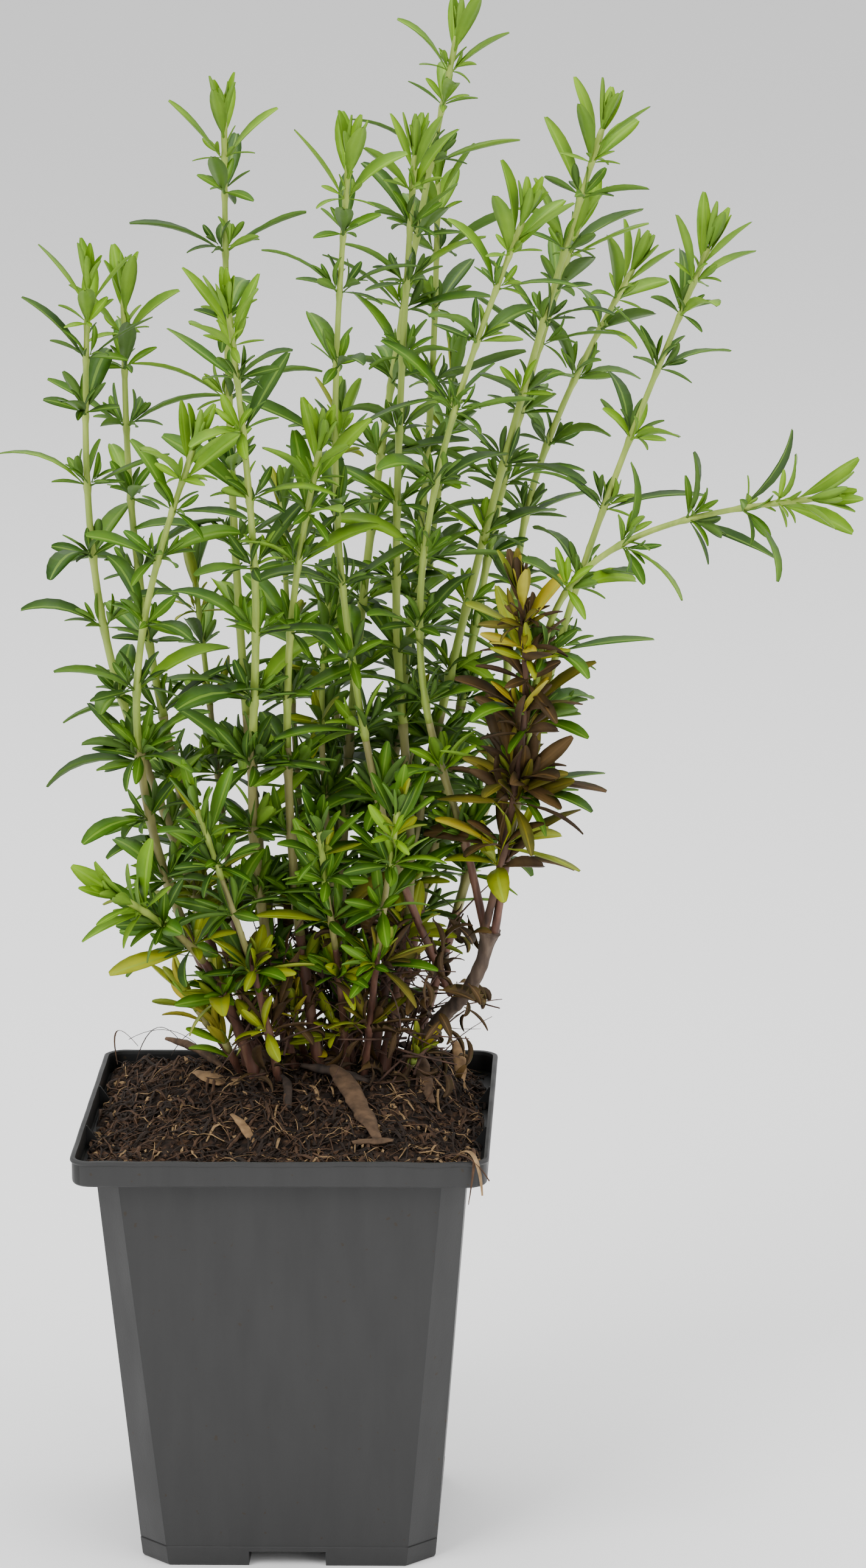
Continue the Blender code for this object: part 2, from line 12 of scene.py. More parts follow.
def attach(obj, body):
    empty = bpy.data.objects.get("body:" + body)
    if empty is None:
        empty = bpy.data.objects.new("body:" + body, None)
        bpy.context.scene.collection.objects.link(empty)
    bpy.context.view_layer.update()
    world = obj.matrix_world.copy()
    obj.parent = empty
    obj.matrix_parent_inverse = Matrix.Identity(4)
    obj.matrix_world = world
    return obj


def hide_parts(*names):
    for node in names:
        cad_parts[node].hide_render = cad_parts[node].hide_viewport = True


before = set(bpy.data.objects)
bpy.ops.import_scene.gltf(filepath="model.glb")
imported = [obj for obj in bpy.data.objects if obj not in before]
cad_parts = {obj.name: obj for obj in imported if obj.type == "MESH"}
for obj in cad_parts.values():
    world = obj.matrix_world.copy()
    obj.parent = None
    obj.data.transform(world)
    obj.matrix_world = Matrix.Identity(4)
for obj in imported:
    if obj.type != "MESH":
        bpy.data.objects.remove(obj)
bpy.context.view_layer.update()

MM = 0.001
# Clear space between neighbouring solids
GAP = 0.3 * MM

# Seeds: the solids' own, then those of the growth and litter that only show here
SEED = 11
FINE_SEED = SEED + 1000
LITTER_SEED = SEED + 5
BARK_SEED = SEED + 9
THATCH_SEED = SEED + 13

# Camera: the photograph's own, worked out from the pot's rim, band and base
CAMERA_PLACE = (0.07662, -1.20385, 0.44565)
CAMERA_FORWARD = (-0.035796, 0.974108, -0.223230)
CAMERA_UP = (-0.000130, 0.223368, 0.974734)
CAMERA_FOCAL_PIXELS = 9245.33
PICTURE_HEIGHT = 2576
SENSOR = 36.0

# Pot, in the same sizes as the solids
POT_HEIGHT = 97 * MM
RIM_HALF = 45 * MM
RIM_CORNER = 4.6 * MM
BAND_HEIGHT = 6.3 * MM
BODY_TOP_HALF = 40.3 * MM
BODY_BASE_HALF = 32.5 * MM
CORNER_TOP = 5.2 * MM
CORNER_BASE = 6.2 * MM
BASE_EDGE = 0.6 * MM
WALL = 0.8 * MM
FLOOR = 1.2 * MM
RIB_PLACE = 15.8 * MM
RIB_THICK = 0.6 * MM
RIB_REACH = 3.0 * MM
RIB_SINK = 0.3 * MM
NOTCH_WIDTH = 17 * MM
NOTCH_HEIGHT = 3.4 * MM
NOTCH_DEPTH = 11 * MM
SLOT_LENGTH = 9 * MM
SLOT_WIDTH = 3 * MM
BAND_FOOT = POT_HEIGHT - BAND_HEIGHT
LEDGE_TOP = BAND_FOOT + WALL
INSIDE_BASE_HALF = BODY_BASE_HALF - WALL
THROAT_HALF = BODY_TOP_HALF - WALL - GAP

# Pot's finer shape: flutes, crease, shoulder and a worn, rolled lip
CORNER_STEPS = 8
SIDE_STEPS = 84
FLUTE_PITCH = 4.3 * MM
FLUTE_DEPTH = 0.07 * MM
CREASE_LEVEL = 4.6 * MM
CREASE_DEPTH = 0.15 * MM
FLUTED_LEVELS = (CREASE_LEVEL + 0.4 * MM, 30 * MM, 60 * MM, BAND_FOOT - 0.6 * MM)
SHOULDER = 0.5 * MM
SHOULDER_ROUNDNESS = 0.2
# Inset of the side, inset of the corner and rise above the band's foot, in millimetres
BAND_PROFILE = ((1.1, 1.1, 0.0), (0.45, 0.45, 0.15), (0.15, 0.15, 0.5), (0.05, 0.0, 1.2))
BAND_INSET = 0.05 * MM
LIP_RADIUS = 0.45 * MM
LIP_FOOT = POT_HEIGHT - 3 * LIP_RADIUS
# Reach past the rim and drop below the top, in lip radii
LIP_PROFILE = ((0.3, 2.2), (0.7, 1.3), (0.5, 0.4), (-0.2, 0.0))
# Inset from the band's inner face and level, from the lip down to the ledge
INNER_PROFILE = (
    (0.0, POT_HEIGHT - 0.3 * LIP_RADIUS), (0.1 * MM, POT_HEIGHT - 2 * LIP_RADIUS),
    (0.0, LEDGE_TOP + 0.4 * MM), (0.4 * MM, LEDGE_TOP),
)
LIP_WAVES = 120
# How far below the ledge's top the painted shade inside the pot reaches
PAINTED_SHADE_DEPTH = 0.6 * MM
LIP_WOBBLE = 0.28 * MM
SHARP_ANGLE = 32

# Soil, as in the solids, with finer lumps
SOIL_WALL_LEVEL = 91.6 * MM
MOUND_TOP = 100 * MM
MOUND_CENTRE = Vector((6, 19)) * MM
MOUND_REACH = Vector((23, 14)) * MM
BACK_LEFT_RISE = 2.5 * MM
SOIL_HALF = 43.4 * MM
LEDGE_FROM = 39.0 * MM
LEDGE_DROP = 1.0 * MM
SOIL_GRID = 210
TINY = 1e-6
SOIL_SINK = 0.3 * MM
EDGE_CALM = 0.4
EDGE_RISE = 25
# Lumps in a metre and their height in millimetres
LUMP_SIZES = ((130, 1.6), (420, 0.9), (1300, 0.45))

# Litter on the soil; pairs are the least and the most of a range
LITTER_SPREAD = 0.975
LITTER_CORNER = 1.2 * MM
CRUMBS = 3200
CRUMB_SIZE = (0.25, 1.15)
CRUMB_TURN = 6.28
CRUMB_SHAPE = ((0.6, 1.5), (0.5, 1.0), (0.35, 0.8))
CRUMB_STRAY = (0.7, 1.2)
CRUMB_CLEARANCE = 0.4
CRUMB_LIFT = 0.1
CRUMB_MIX = {"dark": 5, "brown": 5, "tan": 1}
FIBRES = 1700
FIBRE_LENGTH = (2.5, 11)
FIBRE_WIDTH = (0.12, 0.6)
FIBRE_CURL = (-0.8, 0.8)
FIBRE_TILT = (-0.8, 0.8)
FIBRE_RISE = (0.2, 1.0)
FIBRE_LIFT = 1.6 * MM
FIBRE_STEPS = 6
FIBRE_END = 0.35
FIBRE_CLEARANCE = 0.2 * MM
FIBRE_MARGIN = 0.5 * MM
FIBRE_MIX = {"dark": 5, "brown": 4, "tan": 1.2}
LOOSE_STEPS = 12
LOOSE_END = 0.4

# Stems and leaves, as in the solids
TOP = MOUND_TOP / MM
FOOT_RADIUS = 1.15 * MM
BOUGH_RADIUS = 0.85 * MM
SMALL_RADIUS = 0.8 * MM
TIP_RADIUS = 0.5 * MM
FLARE = 0.6 * MM
FLARE_FADE = 3 * MM
BRANCH_RADIUS = 1.8 * MM
BRANCH_END_RADIUS = 1.5 * MM
KNOT_RADIUS = 2.6 * MM
KNOT_FADE = 2 * MM
APEX_LEAF = 11.5 * MM
FULL_LEAF = 23 * MM
SIDE_LEAF = 10.5 * MM
SIDE_SPREAD = 42
SIDE_BELOW = 185
LENGTH_STRAY = (0.86, 1.08)
SHOOT_END = 1.6 * MM
ROOT_HALF = 0.2 * MM
FIRST_INTERNODE = 2.2 * MM
INTERNODE_GROWTH = 1.5
INTERNODE_STEP = 1.1 * MM
LONGEST_INTERNODE = 16.5 * MM
TOP_SPREAD = 8
LOW_SPREAD = 72
LEAN_STRAY = 9
BEARING_STRAY = 14
LOWEST_LEAF = 3 * MM
YOUNG_PAIRS = 2.2
LOW_LEAF_SHARE = 0.5
LOW_LEAF_RISE = 90

# A single leaf's shape
LEAF_WIDTH = 0.215
YOUNG_LEAF_WIDTH = 0.24
LOW_LEAF_WIDTH = 0.30
SMALL_LEAF_WIDTH = 0.20
DEAD_LEAF_WIDTH = 0.27
LEAF_THICK = 0.16 * MM
LEAF_STATIONS = 10
STALK_SHARE = 0.08
STALK_WIDTH = 0.18
OUTLINE_END = 1.03
OUTLINE_SKEW = 1.16
OUTLINE_BLUNTNESS = 0.66
TIP_CROWDING = 1.25
LATE_BEND = 1.3
KEEL = 0.10
RIB_HALF = 0.13
# Place across the leaf and lift of its edges: the upper side's four columns, then the keel
LEAF_COLUMNS = ((-1.0, 1.0), (-RIB_HALF, 0.0), (RIB_HALF, 0.0), (1.0, 1.0), (0.0, 0.0))
UPPER_SKIN, RIB_SKIN, UNDER_SKIN = 0, 1, 2
# Two neighbouring columns and the skin between them
LEAF_STRIPS = (
    (0, 1, UPPER_SKIN), (1, 2, RIB_SKIN), (2, 3, UPPER_SKIN), (3, 4, UNDER_SKIN), (4, 0, UNDER_SKIN),
)

# Main leaves: what varies from one to the next, in degrees where it is an angle
LEAF_ROOT_OUT = 0.3 * MM
YOUNG_LAST = 2
LOW_LEAF_BELOW = 125
OLD_AFTER = 3
OLD_BEND = (14, 85)
YOUNG_BEND = (-14, 8)
BEND_RELIEF = 0.42
MAIN_WIDTH_STRAY = (0.85, 1.12)
MAIN_FOLD = (6, 26)
MAIN_TWIST = (-28, 28)
SMALL_LEAF_SIZE = 0.86
DEAD_BEND = 0.6
DEAD_TUFT_DROP = 5 * MM

# Tufts of small leaves at the nodes: length in millimetres and spread in degrees of each pair
TUFT_PAIRS = ((9.5, 52), (8.0, 34), (6.0, 14))
TUFT_LEAN = (28, 46)
TUFT_FIRST_SIZE = 0.45
TUFT_GROWTH = 0.14
TUFT_LOW_SIZE = 1.25
TUFT_DEAD_SIZE = 1.5
TUFT_FULL_FROM = 3
TUFT_FOOT = 0.6 * MM
TUFT_STEP = 0.9 * MM

# Folded young leaves at a shoot's end: spread in degrees and share of the room of each pair
APEX_PAIRS = ((24, 1.0), (15, 0.85), (6, 0.65))
APEX_SINK = 0.6 * MM
APEX_TURN = 45
APEX_PAIR_TURN = 10

# How small leaves vary: length and width as shares, the others in degrees
Habit = namedtuple("Habit", "bearing spread length width bend fold twist")
TUFT_HABIT = Habit((-15, 15), (-10, 10), (0.8, 1.15), (0.20, 0.27), (5, 45), (8, 24), (-20, 20))
APEX_HABIT = Habit((-12, 12), (-5, 5), (0.85, 1.05), (0.2, 0.27), (-12, 14), (20, 38), (-12, 12))

# Stems' finer shape; an upper skin starts at its height, held between two shares of the stem
NODE_SWELL = 0.32
NODE_REACH = 1.1 * MM
STEM_SIDES = 12
STEM_STEP = 1.6 * MM
STEM_SQUARENESS = 0.07
BARK_STEP = 0.8 * MM
BASE_ROUGHNESS = 0.14
TAN_ROUGHNESS = 0.04
DEAD_ROUGHNESS = 0.12
GRAIN_ACROSS = 900
GRAIN_ALONG = 160
ROOT_DEPTH = 1.2 * MM
TAN_FROM = 132 * MM
TAN_SHARES = (0.15, 0.5)
GREEN_FROM = 178 * MM
GREEN_SHARES = (0.3, 0.75)
BRANCH_SIDES = 26
BRANCH_STEP = 0.6 * MM
BRANCH_DEPTH = 1.5 * MM
BRANCH_ROUGHNESS = 0.24

# Dead matter among the stems' feet; each row is the range along one axis
TWIGS = 260
TWIG_BOX = ((-12, 32), (4, 32), (99, 128))
TWIG_HEADING = ((-1, 1), (-1, 1), (-0.5, 1.4))
TWIG_CURL = ((-1, 1), (-1, 1), (-1, 0.4))
TWIG_LENGTH = (7, 22)
TWIG_RADIUS = (0.12, 0.42)
TWIG_STEPS = 7
TWIG_SIDES = 5
TWIG_SWEEP = 0.35
TWIG_TAPER = 0.6
TWIG_ROUGHNESS = 0.2
DEAD_LEAVES = 250
DEAD_LEAF_BOX = ((-10, 40), (0, 32), (100, 140))
DEAD_LEAF_HEADING = ((-1, 1), (-1, 1), (-1.2, 0.8))
DEAD_LEAF_SIZE = (4, 9)
LOOSE_LEAF_WIDTH = (0.2, 0.34)
LOOSE_LEAF_BEND = (20, 110)
LOOSE_LEAF_FOLD = (15, 55)
LOOSE_LEAF_TWIST = (-70, 70)

Shoot = namedtuple("Shoot", "name start low mid tip bare_to turn")

STEMMED = (
    Shoot("far_left", (-10, 18, TOP), (-23, 16, 144), (-39, 10, 196), (-40, -5, 291), 121, 80),
    Shoot("left", (-7, 24, TOP), (-24, 24, 157), (-34, 21, 219), (-35, 18, 286), 124, 20),
    Shoot("left_bent", (-6, 13, TOP), (-24, 9, 136), (-32, -5, 182), (-13, -31, 259), 117, 45),
    Shoot("left_low", (-8, 9, TOP), (-19, -1, 130), (-30, -17, 145), (-41, -30, 155), 113, 10),
    Shoot("tall_left", (-2, 28, TOP), (-8, 27, 150), (-12, 25, 215), (-13, 25, 324), 128, 5),
    Shoot("front_left", (0, 15, TOP), (-7, 5, 148), (-5, -17, 221), (-9, -41, 290), 118, 60),
    Shoot("middle_low", (6, 12, TOP), (1, 6, 150), (2, -7, 206), (12, -23, 258), 116, 30),
    Shoot("tallest", (9, 24, TOP), (12, 28, 165), (21, 32, 243), (40, 38, 341), 128, 15),
    Shoot("behind", (13, 30, TOP), (22, 34, 165), (31, 41, 247), (33, 48, 308), 130, 70),
    Shoot("middle_right", (20, 15, TOP), (26, 17, 138), (24, 16, 205), (30, 12, 318), 120, 35),
    Shoot("right_tall", (17, 23, TOP), (30, 27, 165), (45, 25, 227), (73, 22, 322), 129, 50),
    Shoot("right_behind", (21, 27, TOP), (35, 36, 167), (50, 43, 241), (68, 50, 298), 126, 0),
    Shoot("right_thin", (26, 25, TOP), (45, 40, 166), (54, 52, 228), (82, 68, 284), 122, 40),
)
BRANCH = Shoot("branch", (25, 20, TOP), (33, 15, 112), (41, 9, 123), (44.5, 6, 135), 135, 0)
FROM_KNOT = (
    Shoot("right", (43.3, 7.2, 135), (40, 5, 152), (31, 3, 186), (57, -8, 305), 152, 65),
    Shoot("far_right", (45.7, 7.2, 135), (49, 4.5, 155), (60, 3, 200), (97, 2, 298), 152, 25),
    Shoot("spreading", (45.7, 4.8, 135), (52, -3, 172), (62, -11, 215), (125, -33, 240), 150, 45),
)
FROM_SIDE = (
    Shoot("middle", (35.6, 12.1, 118.7), (26, 6, 144), (14, -1, 205), (17, -12, 319), 138, 10),
)
DEAD = (
    Shoot("dead", (43.3, 4.8, 135), (48, -2, 156), (53, -10, 194), (51, -18, 226), 148, 30),
)
SMALL = (
    Shoot("small_back_left", (-11, 27, TOP), (-15, 32, 140), (-20, 39, 185), (-24, 45, 219), TOP, 0),
    Shoot("small_back_middle", (3, 30, TOP), (1, 38, 145), (-2, 48, 195), (-4, 58, 234), TOP, 30),
    Shoot("small_back", (8, 31, TOP), (9, 40, 150), (9, 52, 205), (10, 63, 252), TOP, 60),
    Shoot("small_back_right", (18, 30.5, TOP), (24, 42, 150), (30, 54, 208), (37, 67, 263), TOP, 15),
    Shoot("small_middle", (13, 20, TOP), (9, 20, 140), (7, 20, 182), (10, 20, 218), TOP, 75),
    Shoot("small_front_left", (-3, 7, TOP), (-7, -2, 125), (-14, -13, 153), (-21, -22, 179), TOP, 40),
    Shoot("small_front", (12, 14, TOP), (11, 4, 125), (9, -10, 150), (8, -25, 173), TOP, 20),
    Shoot("small_front_right", (16, 10, TOP), (19, 2, 125), (23, -11, 153), (27, -24, 178), TOP, 55),
)
TUFTS = (
    Shoot("tuft_left", (-12, 13, TOP), (-15, 10, 108), (-18, 8, 115), (-21, 6, 121), TOP, 0),
    Shoot("tuft_far_left", (-14, 24, TOP), (-20, 25, 108), (-26, 27, 116), (-33, 28, 123), TOP, 30),
    Shoot("tuft_back", (-5, 31, TOP), (-8, 36, 108), (-10, 41, 116), (-12, 46, 123), TOP, 60),
    Shoot("tuft_middle", (3, 19, TOP), (1, 14, 110), (0, 8, 119), (-1, 3, 126), TOP, 45),
    Shoot("tuft_right", (25, 13, TOP), (27, 10, 104), (29, 7, 109), (31, 4, 114), TOP, 15),
)


# Leaves: the slot of each tone, then its darker and its lighter colour
LEAF_TONES = {
    "fresh": ("young_leaf", (0.100, 0.230, 0.003), (0.190, 0.360, 0.006)),
    "mid": ("leaf", (0.042, 0.128, 0.003), (0.092, 0.205, 0.005)),
    "dark": ("leaf", (0.021, 0.068, 0.003), (0.048, 0.120, 0.004)),
    "lime": ("tuft_leaf", (0.17, 0.22, 0.004), (0.33, 0.36, 0.008)),
    "yellow": ("tuft_leaf", (0.38, 0.27, 0.010), (0.58, 0.47, 0.02)),
    "olive": ("dead_leaf", (0.060, 0.060, 0.006), (0.17, 0.14, 0.010)),
    "brown": ("dead_leaf", (0.028, 0.016, 0.005), (0.100, 0.056, 0.016)),
}
DRY_TONES = ("brown", "olive")
DRY_UNDER = ((0.030, 0.017, 0.008), (0.080, 0.046, 0.018))
UNDER_GREY = (0.12, 0.20, 0.045)
UNDER_SHARE = 0.38
RIB_PALE = (0.22, 0.36, 0.045)
RIB_SHARE = 0.4

# Other kinds: the darker and the lighter colour
TWIG_TONES = ((0.018, 0.010, 0.007), (0.085, 0.040, 0.024))
LITTER_TONES = {
    "dark": ((0.008, 0.005, 0.003), (0.024, 0.013, 0.008)),
    "brown": ((0.030, 0.015, 0.008), (0.078, 0.040, 0.020)),
    "tan": ((0.14, 0.085, 0.038), (0.30, 0.19, 0.09)),
}
BARK_TONES = {
    "dark": ((0.012, 0.008, 0.006), (0.05, 0.032, 0.022)),
    "brown": ((0.040, 0.022, 0.011), (0.125, 0.072, 0.038)),
    "tan": ((0.11, 0.062, 0.028), (0.29, 0.175, 0.080)),
}
POT_SHADE = 0.021
# Darker grey of the band's inner face and the ledge: painted shade on the same plastic as outside
INSIDE_PAINTED_SHADE = 0.009
SPECK_COLOUR = (0.022, 0.016, 0.010, 1)

# Colours along a pattern: each stop is a place and a colour
BASE_STOPS = ((0.3, (0.042, 0.019, 0.013)), (0.55, (0.115, 0.048, 0.030)), (0.75, (0.20, 0.120, 0.068)))
TAN_STOPS = ((0.3, (0.15, 0.13, 0.045)), (0.7, (0.27, 0.26, 0.08)))
GREEN_STOPS = ((0.3, (0.19, 0.28, 0.035)), (0.7, (0.33, 0.42, 0.07)))
DEAD_STOPS = ((0.3, (0.03, 0.015, 0.01)), (0.7, (0.12, 0.06, 0.035)))
# Colours and roughness of each skin of the stems, from the soil up, then the dead one's
STEM_SKINS = {
    "base": (BASE_STOPS, 0.6), "tan": (TAN_STOPS, 0.55),
    "green": (GREEN_STOPS, 0.55), "dead": (DEAD_STOPS, 0.8),
}
BRANCH_STOPS = ((0.25, (0.02, 0.013, 0.010)), (0.5, (0.075, 0.050, 0.035)), (0.75, (0.16, 0.115, 0.08)))
PEAT_STOPS = (
    (0.32, (0.005, 0.003, 0.002)), (0.5, (0.014, 0.008, 0.005)),
    (0.62, (0.034, 0.018, 0.010)), (0.78, (0.09, 0.048, 0.024)),
)
SPECK_STOPS = ((0.74, (0, 0, 0)), (0.78, (1, 1, 1)))
WEAR_STOPS = ((0.3, (0.42,) * 3), (0.7, (0.56,) * 3))

# Roughness of each surface, and the leaves' and the pot's own looks
LEAF_ROUGHNESS = 0.46
DRY_ROUGHNESS = 0.62
RIB_ROUGHNESS = 0.5
UNDER_ROUGHNESS = 0.6
DRY_UNDER_ROUGHNESS = 0.7
BARK_ROUGHNESS = 0.85
POT_ROUGHNESS = 0.46
PEAT_ROUGHNESS = 0.92
LITTER_ROUGHNESS = 0.8
POT_SHEEN = 0.32
LEAF_GLOW = 0.12
LEAF_GLOW_REACH = (0.001, 0.002, 0.0005)
LEAF_EDGES = (0.34, 0.66)
STREAK_SHADES = (0.92, 1.08)

# Patterns: how fine each one is, its detail and its stretch
EVEN = (1, 1, 1)
ALONG = (1, 1, 0.12)
POT_STREAKS = (260, 3, ALONG)
POT_SPECKS = (700, 1, EVEN)
POT_WEAR = (120, 5, (1, 1, 0.4))
POT_GRAIN = (2200, 2, EVEN)
POT_BUMP = 0.12
FINE_RELIEF = 0.2 * MM
# Sheen, the patterns of the colour and of the relief, and how strong and high the relief is
Look = namedtuple("Look", "sheen patches grain bump relief")
LEAF_LOOK = Look(0.20, (95, 4, EVEN), (900, 2, EVEN), 0.25, FINE_RELIEF)
STEM_LOOK = Look(0.4, (420, 3, (1, 1, 0.18)), (1500, 2, ALONG), 0.3, FINE_RELIEF)
PEAT_LOOK = Look(0.25, (480, 6, EVEN), (1400, 5, EVEN), 0.9, 0.6 * MM)
LITTER_LOOK = Look(0.3, (600, 3, EVEN), None, 0, 0)


# Materials

def new_material(name, roughness, specular):
    """A Principled material with its node tree, shader and a position input."""
    made = bpy.data.materials.new(name)
    made.use_nodes = True
    nodes = made.node_tree.nodes
    shader = nodes["Principled BSDF"]
    shader.inputs["Roughness"].default_value = roughness
    shader.inputs["Specular IOR Level"].default_value = specular
    place = nodes.new("ShaderNodeTexCoord")
    return made, shader, place.outputs["Object"]


def noise_node(made, place, scale, detail, stretch):
    """A noise pattern, stretched along the axes."""
    tree = made.node_tree
    mapping = tree.nodes.new("ShaderNodeMapping")
    mapping.inputs["Scale"].default_value = stretch
    pattern = tree.nodes.new("ShaderNodeTexNoise")
    pattern.inputs["Scale"].default_value = scale
    pattern.inputs["Detail"].default_value = detail
    tree.links.new(place, mapping.inputs["Vector"])
    tree.links.new(mapping.outputs["Vector"], pattern.inputs["Vector"])
    return pattern.outputs["Fac"]


def ramp(made, factor, stops):
    """A colour ramp over a pattern; each stop is a place and a colour."""
    node = made.node_tree.nodes.new("ShaderNodeValToRGB")
    elements = node.color_ramp.elements
    while len(elements) < len(stops):
        elements.new(0.5)
    for element, (place, colour) in zip(elements, stops):
        element.position = place
        element.color = (*colour, 1)
    made.node_tree.links.new(factor, node.inputs["Fac"])
    return node.outputs["Color"]


def bump(made, shader, height, strength, distance):
    """Relief that follows a pattern."""
    node = made.node_tree.nodes.new("ShaderNodeBump")
    node.inputs["Strength"].default_value = strength
    node.inputs["Distance"].default_value = distance
    made.node_tree.links.new(height, node.inputs["Height"])
    made.node_tree.links.new(node.outputs["Normal"], shader.inputs["Normal"])


def surface(name, look, stops, roughness):
    """A material whose colour follows a pattern over the stops, with a relief if its look has one."""
    made, shader, place = new_material(name, roughness, look.sheen)
    colour = ramp(made, noise_node(made, place, *look.patches), stops)
    made.node_tree.links.new(colour, shader.inputs["Base Color"])
    if look.grain:
        bump(made, shader, noise_node(made, place, *look.grain), look.bump, look.relief)
    return made


def between(tones, edges=(0.3, 0.7)):
    """Two colour stops, from a darker tone to a lighter one."""
    return tuple(zip(edges, tones))


def blend(one, other, share):
    """A colour between two others."""
    return tuple((1 - share) * here + share * there for here, there in zip(one, other))


def leaf_material(name, tones, roughness):
    """A leaf's surface: patchy between two tones, finely pebbled, and a little light comes through."""
    made = surface(name, LEAF_LOOK, between(tones, LEAF_EDGES), roughness)
    shader = made.node_tree.nodes["Principled BSDF"]
    shader.inputs["Subsurface Weight"].default_value = LEAF_GLOW
    shader.inputs["Subsurface Radius"].default_value = LEAF_GLOW_REACH
    return made


def pot_material(name, shade):
    """Dark grey moulded plastic: faint streaks, specks, scuffs and a satin surface."""
    made, shader, place = new_material(name, POT_ROUGHNESS, POT_SHEEN)
    links = made.node_tree.links
    streaks = noise_node(made, place, *POT_STREAKS)
    mix = made.node_tree.nodes.new("ShaderNodeMix")
    mix.data_type = "RGBA"
    mix.inputs["B"].default_value = SPECK_COLOUR
    links.new(ramp(made, noise_node(made, place, *POT_SPECKS), SPECK_STOPS), mix.inputs["Factor"])
    greys = [(shade * change,) * 3 for change in STREAK_SHADES]
    links.new(ramp(made, streaks, between(greys)), mix.inputs["A"])
    links.new(mix.outputs["Result"], shader.inputs["Base Color"])
    worn = noise_node(made, place, *POT_WEAR)
    links.new(ramp(made, worn, WEAR_STOPS), shader.inputs["Roughness"])
    bump(made, shader, noise_node(made, place, *POT_GRAIN), POT_BUMP, FINE_RELIEF)
    return made


# Stem lines and the rule of growth, as in the solids

class StemLine:
    """A smooth curve through a shoot's four guide points, measured along its length."""

    STEPS = 24

    def __init__(self, shoot):
        guides = [Vector(point) * MM for point in (shoot.start, shoot.low, shoot.mid, shoot.tip)]
        spans = [(guides[i + 1] - guides[i]).length for i in range(3)]
        slopes = [(guides[i + 1] - guides[i]) / spans[i] for i in range(3)]
        inner = [
            (slopes[i] * spans[i + 1] + slopes[i + 1] * spans[i]) / (spans[i] + spans[i + 1])
            for i in range(2)
        ]
        tangents = [slopes[0] * 1.5 - inner[0] * 0.5] + inner + [slopes[2] * 1.5 - inner[1] * 0.5]
        self.points = [guides[0]]
        for i in range(3):
            for step in range(1, self.STEPS + 1):
                t = step / self.STEPS
                self.points.append(
                    guides[i] * (2 * t**3 - 3 * t**2 + 1)
                    + tangents[i] * spans[i] * (t**3 - 2 * t**2 + t)
                    + guides[i + 1] * (3 * t**2 - 2 * t**3)
                    + tangents[i + 1] * spans[i] * (t**3 - t**2)
                )
        self.marks = [0.0]
        for here, after in zip(self.points, self.points[1:]):
            self.marks.append(self.marks[-1] + (after - here).length)
        self.length = self.marks[-1]

    def at(self, distance):
        """The point and direction at a distance along the curve."""
        distance = min(max(distance, 0.0), self.length)
        last = len(self.marks) - 2
        index = next((i for i in range(last + 1) if self.marks[i + 1] >= distance), last)
        here, after = self.points[index], self.points[index + 1]
        share = (distance - self.marks[index]) / (self.marks[index + 1] - self.marks[index])
        return here.lerp(after, share), (after - here).normalized()

    def at_height(self, z):
        """The distance at which the curve first reaches a height."""
        return next((mark for mark, point in zip(self.marks, self.points) if point.z >= z), self.length)


def side_vectors(direction):
    """Two directions square to a stem, the first one as near +X as it can be."""
    first = Vector((0, 1, 0)).cross(direction).normalized()
    return first, direction.cross(first)


def stem_radius(line, distance, foot_radius, flare=0.0):
    """A stem's radius: it tapers to the tip, with a flare that fades above the foot."""
    taper = foot_radius + (TIP_RADIUS - foot_radius) * distance / line.length
    return taper + flare * math.exp(-distance / FLARE_FADE)


def branch_radius(line, distance):
    """The old branch's radius: it flares at the foot and swells to a knot at its end."""
    taper = BRANCH_RADIUS + (BRANCH_END_RADIUS - BRANCH_RADIUS) * distance / line.length
    knot = (KNOT_RADIUS - BRANCH_END_RADIUS) * math.exp((distance - line.length) / KNOT_FADE)
    return taper + FLARE * math.exp(-distance / FLARE_FADE) + knot


def leaf_pairs(line, start, end, turn, rng):
    """Crossed pairs of leaves from a shoot's tip down: short and upright first, then long and spread."""
    distance = end - SHOOT_END
    gap = FIRST_INTERNODE
    number = 0
    pairs = []
    while distance > start + LOWEST_LEAF:
        young = math.exp(-number / YOUNG_PAIRS)
        length = APEX_LEAF + (FULL_LEAF - APEX_LEAF) * (1 - young)
        spread = TOP_SPREAD + (LOW_SPREAD - TOP_SPREAD) * (1 - young)
        height = line.at(distance)[0].z / MM
        length *= min(1.0, LOW_LEAF_SHARE + max(0.0, height - TOP) / LOW_LEAF_RISE)
        bearing = turn + 90 * number + rng.uniform(-BEARING_STRAY, BEARING_STRAY)
        pairs.append((number, distance, length, spread, bearing))
        if height < SIDE_BELOW and number % 2:
            pairs.append((number, distance - ROOT_HALF, SIDE_LEAF, SIDE_SPREAD, bearing + 90))
        distance -= gap
        gap = min(gap * INTERNODE_GROWTH + INTERNODE_STEP, LONGEST_INTERNODE)
        number += 1
    return pairs


# Leaves

class LeafStore:
    """Leaves of each tone, kept as numbers until they become one joined mesh."""

    def __init__(self):
        self.rows = {tone: [] for tone in LEAF_TONES}

    def add(self, tone, root, direction, upward, length, width, bend, fold, twist):
        """One leaf from its root, heading and upper side; bend curls it down, fold lifts its edges."""
        side = direction.cross(upward).normalized()
        upward = side.cross(direction)
        self.rows[tone].append((*root, *direction, *upward, length, width, bend, fold, twist))


def leaf_outline(t):
    """Half a leaf's width as a share of its widest: a narrow stalk, a full middle and a blunt tip."""
    along = np.clip((t - STALK_SHARE) / (OUTLINE_END - STALK_SHARE), 0, 1)
    blade = np.sin(np.pi * along ** OUTLINE_SKEW) ** OUTLINE_BLUNTNESS
    return np.maximum(blade, STALK_WIDTH * (1 - t))


